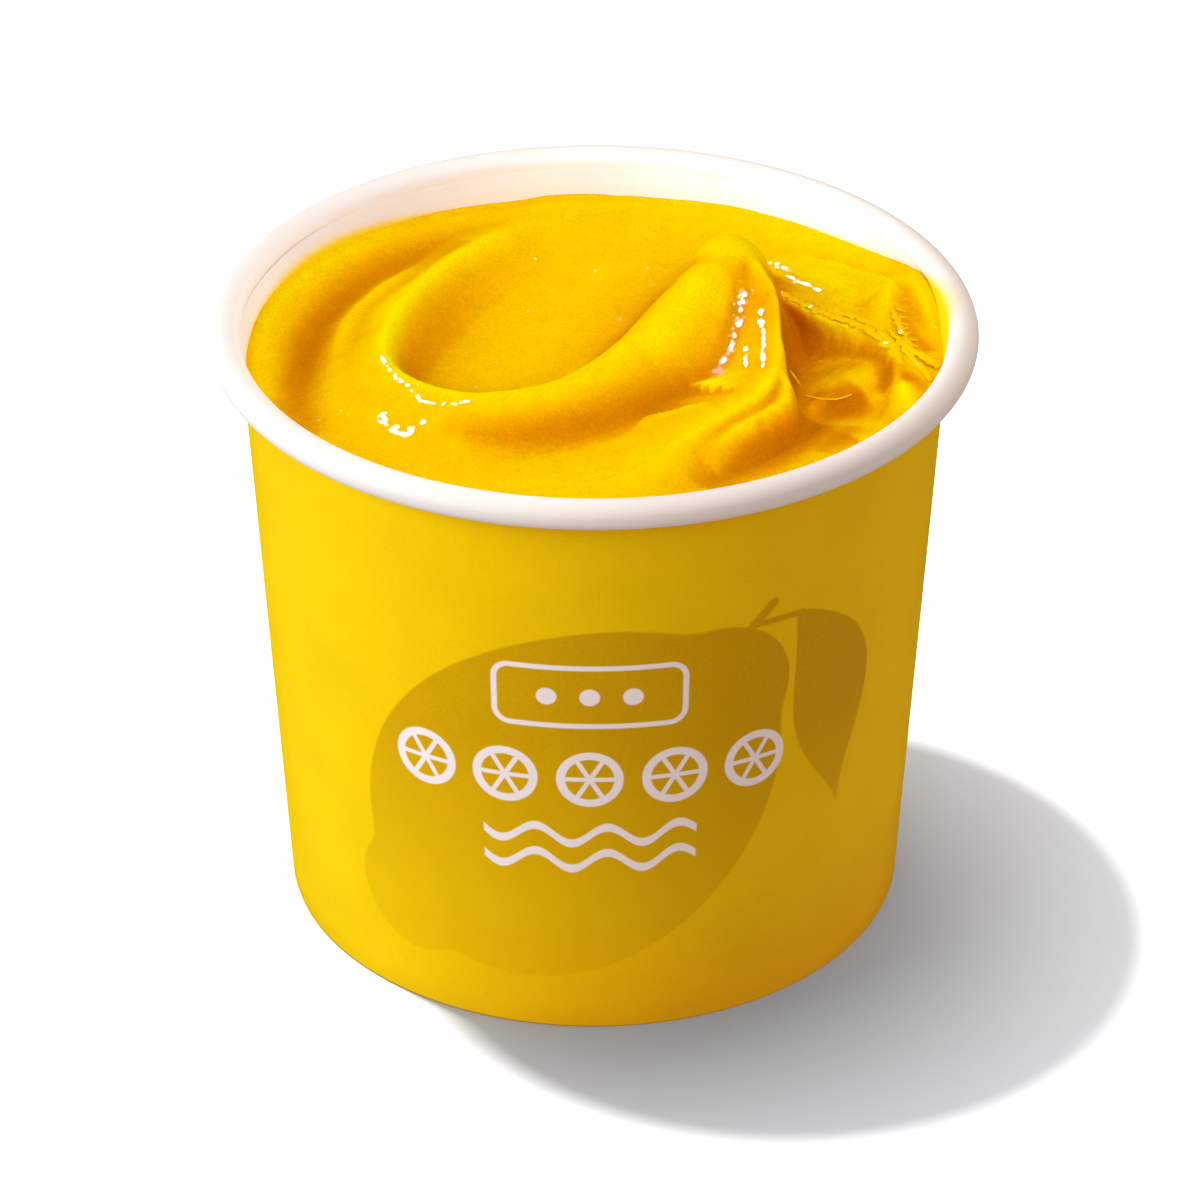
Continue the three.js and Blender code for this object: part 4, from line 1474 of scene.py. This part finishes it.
@dataclass
class TornShreds:
    """The shreds along the flap's torn edge and in the pit, pulled thin as the spoon left."""

    surface: SwirlSurface
    sides: int = 8
    teeth: int = 8
    tooth_length: tuple[float, float] = (0.5, 1.1)
    tone: float = 0.2
    wetness: float = 0.6
    wobble: float = 0.3
    strands: Sequence[Strand] = (
        Strand([[17.5, 10.6, 59.3, 0.1], [18.7, 9.0, 59.35, 0.45], [20.0, 7.8, 59.3, 0.4],
                [21.5, 6.4, 59.25, 0.55], [23.0, 5.1, 59.2, 0.4], [24.6, 4.0, 59.15, 0.6],
                [26.2, 2.9, 59.1, 0.5], [27.4, 1.2, 59.0, 0.6], [28.6, -0.6, 58.8, 0.45]], thick=0.14,
               ragged=0.7, seed=1),
        Strand([[20.6, 7.6, 59.25, 0.05], [21.5, 6.4, 59.2, 0.16], [22.4, 5.3, 59.05, 0.2],
                [23.3, 4.3, 58.95, 0.18], [24.4, 3.3, 58.8, 0.03]], thick=0.06, ragged=0.2, seed=2),
        Strand([[27.4, 2.4, 59.1, 0.25], [28.7, 0.2, 58.95, 0.5], [29.3, -2.2, 58.6, 0.55],
                [29.8, -4.6, 58.2, 0.4], [30.4, -6.7, 57.75, 0.05]], thick=0.16, seed=3),
        Strand([[28.4, 2.6, 59.15, 0.2], [29.5, 0.2, 59.0, 0.35], [30.4, -2.0, 58.7, 0.35],
                [31.4, -3.9, 58.4, 0.45], [32.3, -5.5, 57.9, 0.3]], thick=0.14, ragged=0.6, seed=4),
        Strand([[29.3, 1.0, 59.1, 0.15], [30.5, -0.9, 58.9, 0.35], [31.6, -2.1, 58.7, 0.6],
                [32.7, -2.9, 58.5, 0.7], [33.2, -3.4, 58.3, 0.5]], thick=0.18, ragged=0.3, seed=5),
        Strand([[28.3, 8.2, 59.45, 0.2], [29.1, 6.0, 59.4, 0.3], [29.4, 3.6, 59.3, 0.3],
                [29.9, 1.6, 59.1, 0.3], [30.7, -0.4, 58.9, 0.2]], thick=0.12, ragged=0.6, seed=6),
        Strand([[20.2, -6.0, 56.6, 0.03], [21.8, -6.6, 56.55, 0.09], [23.4, -6.6, 56.55, 0.1],
                [24.8, -5.7, 56.6, 0.09], [26.2, -5.1, 56.6, 0.03]], thick=0.08, ragged=0.2, seed=7),
        Strand([[18.8, -2.9, 57.7, 0.04], [19.2, -3.8, 57.5, 0.1], [19.8, -4.9, 57.1, 0.04]],
               thick=0.08, ragged=0.1, seed=8),
    )

    def hooks(self) -> list[Strand]:
        """Small hooks that stand out along the flap's right side."""
        draw = np.random.default_rng(73)
        side = Path([[28.7, 8.6, 59.4], [29.5, 5.5, 59.3], [29.7, 3.1, 59.2], [30.3, 1.4, 59.0],
                     [31.0, -0.9, 58.8]]).samples
        made = []
        for k in range(self.teeth):
            x, y, z = side[round((k + 0.5) * (len(side) - 1) / self.teeth)]
            length, swing = draw.uniform(*self.tooth_length), draw.uniform(-0.5, 0.5)
            reach = np.array([math.cos(swing), math.sin(swing), 0.0]) * length
            bend = np.array([0.0, draw.uniform(0.1, 0.4), -0.12])
            rows = [np.array([x, y, z]) + reach * t + bend * t * t for t in (-0.4, 0.2, 0.6, 1.0)]
            points = [[*row, wide] for row, wide in zip(rows, (0.16, 0.16, 0.1, 0.02))]
            made.append(Strand(points, thick=0.08, ragged=0.2, seed=20 + k))
        return made

    def tube(self, strand: Strand) -> tuple[Array, list[tuple[int, ...]]]:
        """Builds one strand as a flat closed tube.

        Args:
            strand: The strand.

        Returns:
            Its points, and its faces.
        """
        path = Path(strand.rows).samples
        middle, half = path[:, :3], path[:, 3]
        heading = np.gradient(middle, axis=0)
        heading /= np.linalg.norm(heading, axis=1, keepdims=True)
        side = np.cross(heading, [0.0, 0.0, 1.0])
        side /= np.linalg.norm(side, axis=1, keepdims=True)
        up = np.cross(side, heading)
        travelled = np.arange(len(path))
        sway = strand.ragged * self.wobble * noise(travelled / 3.1, travelled * 0 + 0.5, strand.seed + 50)
        middle = middle + sway[:, None] * side
        points = []
        for k in range(self.sides):
            turn = TURN * k / self.sides
            tear = 1 + strand.ragged * noise(travelled / 2.2, travelled * 0 + k // 2, strand.seed)
            wide = (half * tear * math.cos(turn))[:, None] * side
            thick = (np.minimum(strand.thick, half) * math.sin(turn))[:, None] * up
            points.append(middle + wide + thick)
        rings = np.stack(points, axis=1).reshape(-1, 3)
        faces: list[tuple[int, ...]] = []
        count, last = self.sides, (len(path) - 1) * self.sides
        for a in range(0, last, count):
            for k in range(count):
                m = (k + 1) % count
                faces.append((a + k, a + count + k, a + count + m, a + m))
        faces.append(tuple(range(count)))
        faces.append(tuple(range(last + count - 1, last - 1, -1)))
        return rings, faces

    def body(self, finish: bpy.types.Material) -> bpy.types.Object:
        """Builds the shreds.

        Args:
            finish: The sorbet's material.

        Returns:
            The shreds, as one piece.
        """
        points: list[Array] = []
        faces: list[tuple[int, ...]] = []
        start = 0
        for strand in (*self.strands, *self.hooks()):
            rings, sides = self.tube(strand)
            points.append(rings)
            faces += [tuple(start + k for k in face) for face in sides]
            start += len(rings)
        made = build_mesh("torn_shreds", np.vstack(points), faces, [finish])
        store(made, "shade", np.full(start, self.tone))
        store(made, "wet", np.full(start, self.wetness))
        store(made, "edge", np.full(start, 1.0))
        return settle(made, Slot.SORBET)


# ---- Studio -----------------------------------------------------------------------------


@dataclass(frozen=True)
class Studio:
    """Floor, lights and camera. Lengths are in metres."""

    elevation: float = math.radians(31.514)
    distance: float = 0.5452
    aim_height: float = 0.02993
    lens: float = 164.88
    shift_x: float = 0.00494
    sun_from: Point = (-18.5, 12.6, 60.0)
    sun_angle: float = math.radians(4.5)
    floor_half: float = 3000.0
    floor_gap: float = 0.02
    dim_tint: Point = (1.0, 0.86, 0.84)
    dim_strength: float = 0.47

    def floor(self) -> bpy.types.Object:
        """Builds the pale floor.

        Returns:
            The floor.
        """
        half = self.floor_half
        corners = np.array([(-half, -half, 0), (half, -half, 0), (half, half, 0), (-half, half, 0)])
        made = build_mesh("floor", corners, [(0, 1, 2, 3)], [PaleSweep().make()])
        made.location.z = -self.floor_gap * MM
        made.visible_diffuse = False
        made.visible_glossy = False
        return made

    def light(self, lamp: bpy.types.Object, on: Lit) -> bpy.types.Object:
        """Links a lamp into the scene, and limits it to what it shines on.

        Args:
            lamp: The lamp's object.
            on: What it shines on.

        Returns:
            The lamp.
        """
        bpy.context.scene.collection.objects.link(lamp)
        lamp.visible_camera = False
        lit = bpy.data.collections.new(lamp.name + "_lights")
        for name in on.value:
            lit.objects.link(bpy.data.objects[name])
        lamp.light_linking.receiver_collection = lit
        if on is Lit.SORBET and not lamp.visible_diffuse:
            lamp.light_linking.blocker_collection = lit
        return lamp

    def softbox(
        self,
        name: str,
        on: Lit,
        place: Point,
        size: float,
        power: float,
        tint: Point = (1.0, 1.0, 1.0),
        aim: Point | None = None,
        shine: Shine = Shine.SHADES,
    ) -> bpy.types.Object:
        """Adds a square soft light.

        Args:
            name: The light's name.
            on: What it shines on.
            place: Where it stands.
            size: Its side.
            power: Its power, in watts.
            tint: Its colour, linear.
            aim: What it faces; the cup's middle if left out.
            shine: Whether it shades what it shines on, or only mirrors in it.

        Returns:
            The light.
        """
        data = bpy.data.lights.new(name, "AREA")
        data.shape = "SQUARE"
        data.size = size
        data.energy = power
        data.color = tint
        lamp = bpy.data.objects.new(name, data)
        lamp.location = place
        facing = Vector(aim or (0, 0, self.aim_height)) - Vector(place)
        lamp.rotation_euler = facing.to_track_quat("-Z", "Y").to_euler()
        lamp.visible_glossy = shine is Shine.MIRRORED
        lamp.visible_diffuse = shine is Shine.SHADES
        return self.light(lamp, on)

    def sun(self, name: str, on: Lit, strength: float) -> bpy.types.Object:
        """Adds a sun, high at the back left.

        Args:
            name: The light's name.
            on: What it shines on.
            strength: Its strength.

        Returns:
            The light.
        """
        data = bpy.data.lights.new(name, "SUN")
        data.energy = strength
        data.angle = self.sun_angle
        lamp = bpy.data.objects.new(name, data)
        lamp.rotation_euler = (-Vector(self.sun_from)).to_track_quat("-Z", "Y").to_euler()
        return self.light(lamp, on)

    def surroundings(self) -> None:
        """Surrounds the cup with a dim warm light, in front of a white background."""
        world = bpy.data.worlds.new("surroundings")
        world.use_nodes = True
        tree = world.node_tree
        dim = tree.nodes["Background"]
        dim.inputs[0].default_value = (*self.dim_tint, 1.0)
        dim.inputs[1].default_value = self.dim_strength
        white = tree.nodes.new("ShaderNodeBackground")
        white.inputs[0].default_value = (1.0, 1.0, 1.0, 1.0)
        seen = tree.nodes.new("ShaderNodeLightPath")
        mixed = tree.nodes.new("ShaderNodeMixShader")
        tree.links.new(seen.outputs["Is Camera Ray"], mixed.inputs[0])
        tree.links.new(dim.outputs[0], mixed.inputs[1])
        tree.links.new(white.outputs[0], mixed.inputs[2])
        tree.links.new(mixed.outputs[0], tree.nodes["World Output"].inputs[0])
        world.cycles_visibility.glossy = False
        bpy.context.scene.world = world

    def camera(self) -> bpy.types.Object:
        """Adds the camera.

        Returns:
            The camera.
        """
        data = bpy.data.cameras.new("camera")
        data.sensor_width = 36.0
        data.lens = self.lens
        data.shift_x = self.shift_x
        data.clip_start = 0.01
        data.clip_end = 20.0
        camera = bpy.data.objects.new("camera", data)
        back = Vector((0, -math.cos(self.elevation), math.sin(self.elevation)))
        camera.location = Vector((0, 0, self.aim_height)) + back * self.distance
        camera.rotation_euler = (-back).to_track_quat("-Z", "Y").to_euler()
        bpy.context.scene.collection.objects.link(camera)
        bpy.context.scene.camera = camera
        return camera

    def build(self) -> None:
        """Sets up the whole studio."""
        cool, neutral, warm = (1.0, 1.15, 1.3), (1.02, 1.0, 0.97), (1.0, 0.9, 0.76)
        self.floor()
        self.sun("paper_sun", Lit.PAPER, 0.94)
        self.sun("sorbet_sun", Lit.SORBET, 0.33)
        self.sun("floor_sun", Lit.FLOOR, 7.3)
        box = self.softbox
        box("floor_softbox", Lit.FLOOR, (-0.08, 0.12, 0.95), 0.5, 10.5, neutral)
        box("floor_front_softbox", Lit.FLOOR, (0.25, -0.5, 0.75), 0.6, 2.4, (0.4, 1.0, 1.45))
        box("left_softbox", Lit.PAPER, (-0.85, -0.3, 0.4), 0.6, 7.05, cool)
        box("right_softbox", Lit.PAPER, (0.52, 0.46, 0.13), 0.3, 1.35, warm)
        box("front_softbox", Lit.PAPER, (0.3, -0.6, 0.3), 0.4, 0.4, (1.0, 0.92, 0.84))
        box("sorbet_left_softbox", Lit.SORBET, (-0.85, -0.1, 0.45), 0.6, 3.8)
        box("sorbet_front_softbox", Lit.SORBET, (0.15, -0.5, 0.55), 0.6, 3.0)
        box("glint_panel", Lit.SORBET, (-0.24, 0.44, 0.32), 0.95, 130.0, shine=Shine.MIRRORED)
        inside = (-0.03, 0.012, 0.06)
        box("lining_lamp", Lit.LINING, (0.012, -0.012, 0.078), 0.03, 0.01, cool, inside)
        self.surroundings()
        self.camera()
        bpy.context.scene.view_settings.view_transform = "Standard"


def main() -> None:
    """Builds the cup, the sorbet and the studio."""
    surface = SwirlSurface()
    printed = PrintedBoard().make()
    lining = BareBoard().make()
    underside = BareBoard(name="bare_base_board", smeared=False).make()
    cup = PaperCup(CUP, surface)
    cup.wall(printed, lining)
    cup.base(underside)
    puree = FrozenPuree().make()
    Sorbet(CUP, surface).body(puree)
    TornShreds(surface).body(puree)
    Studio().build()
    log.info("sizes written")


if __name__ == "__main__":
    main()
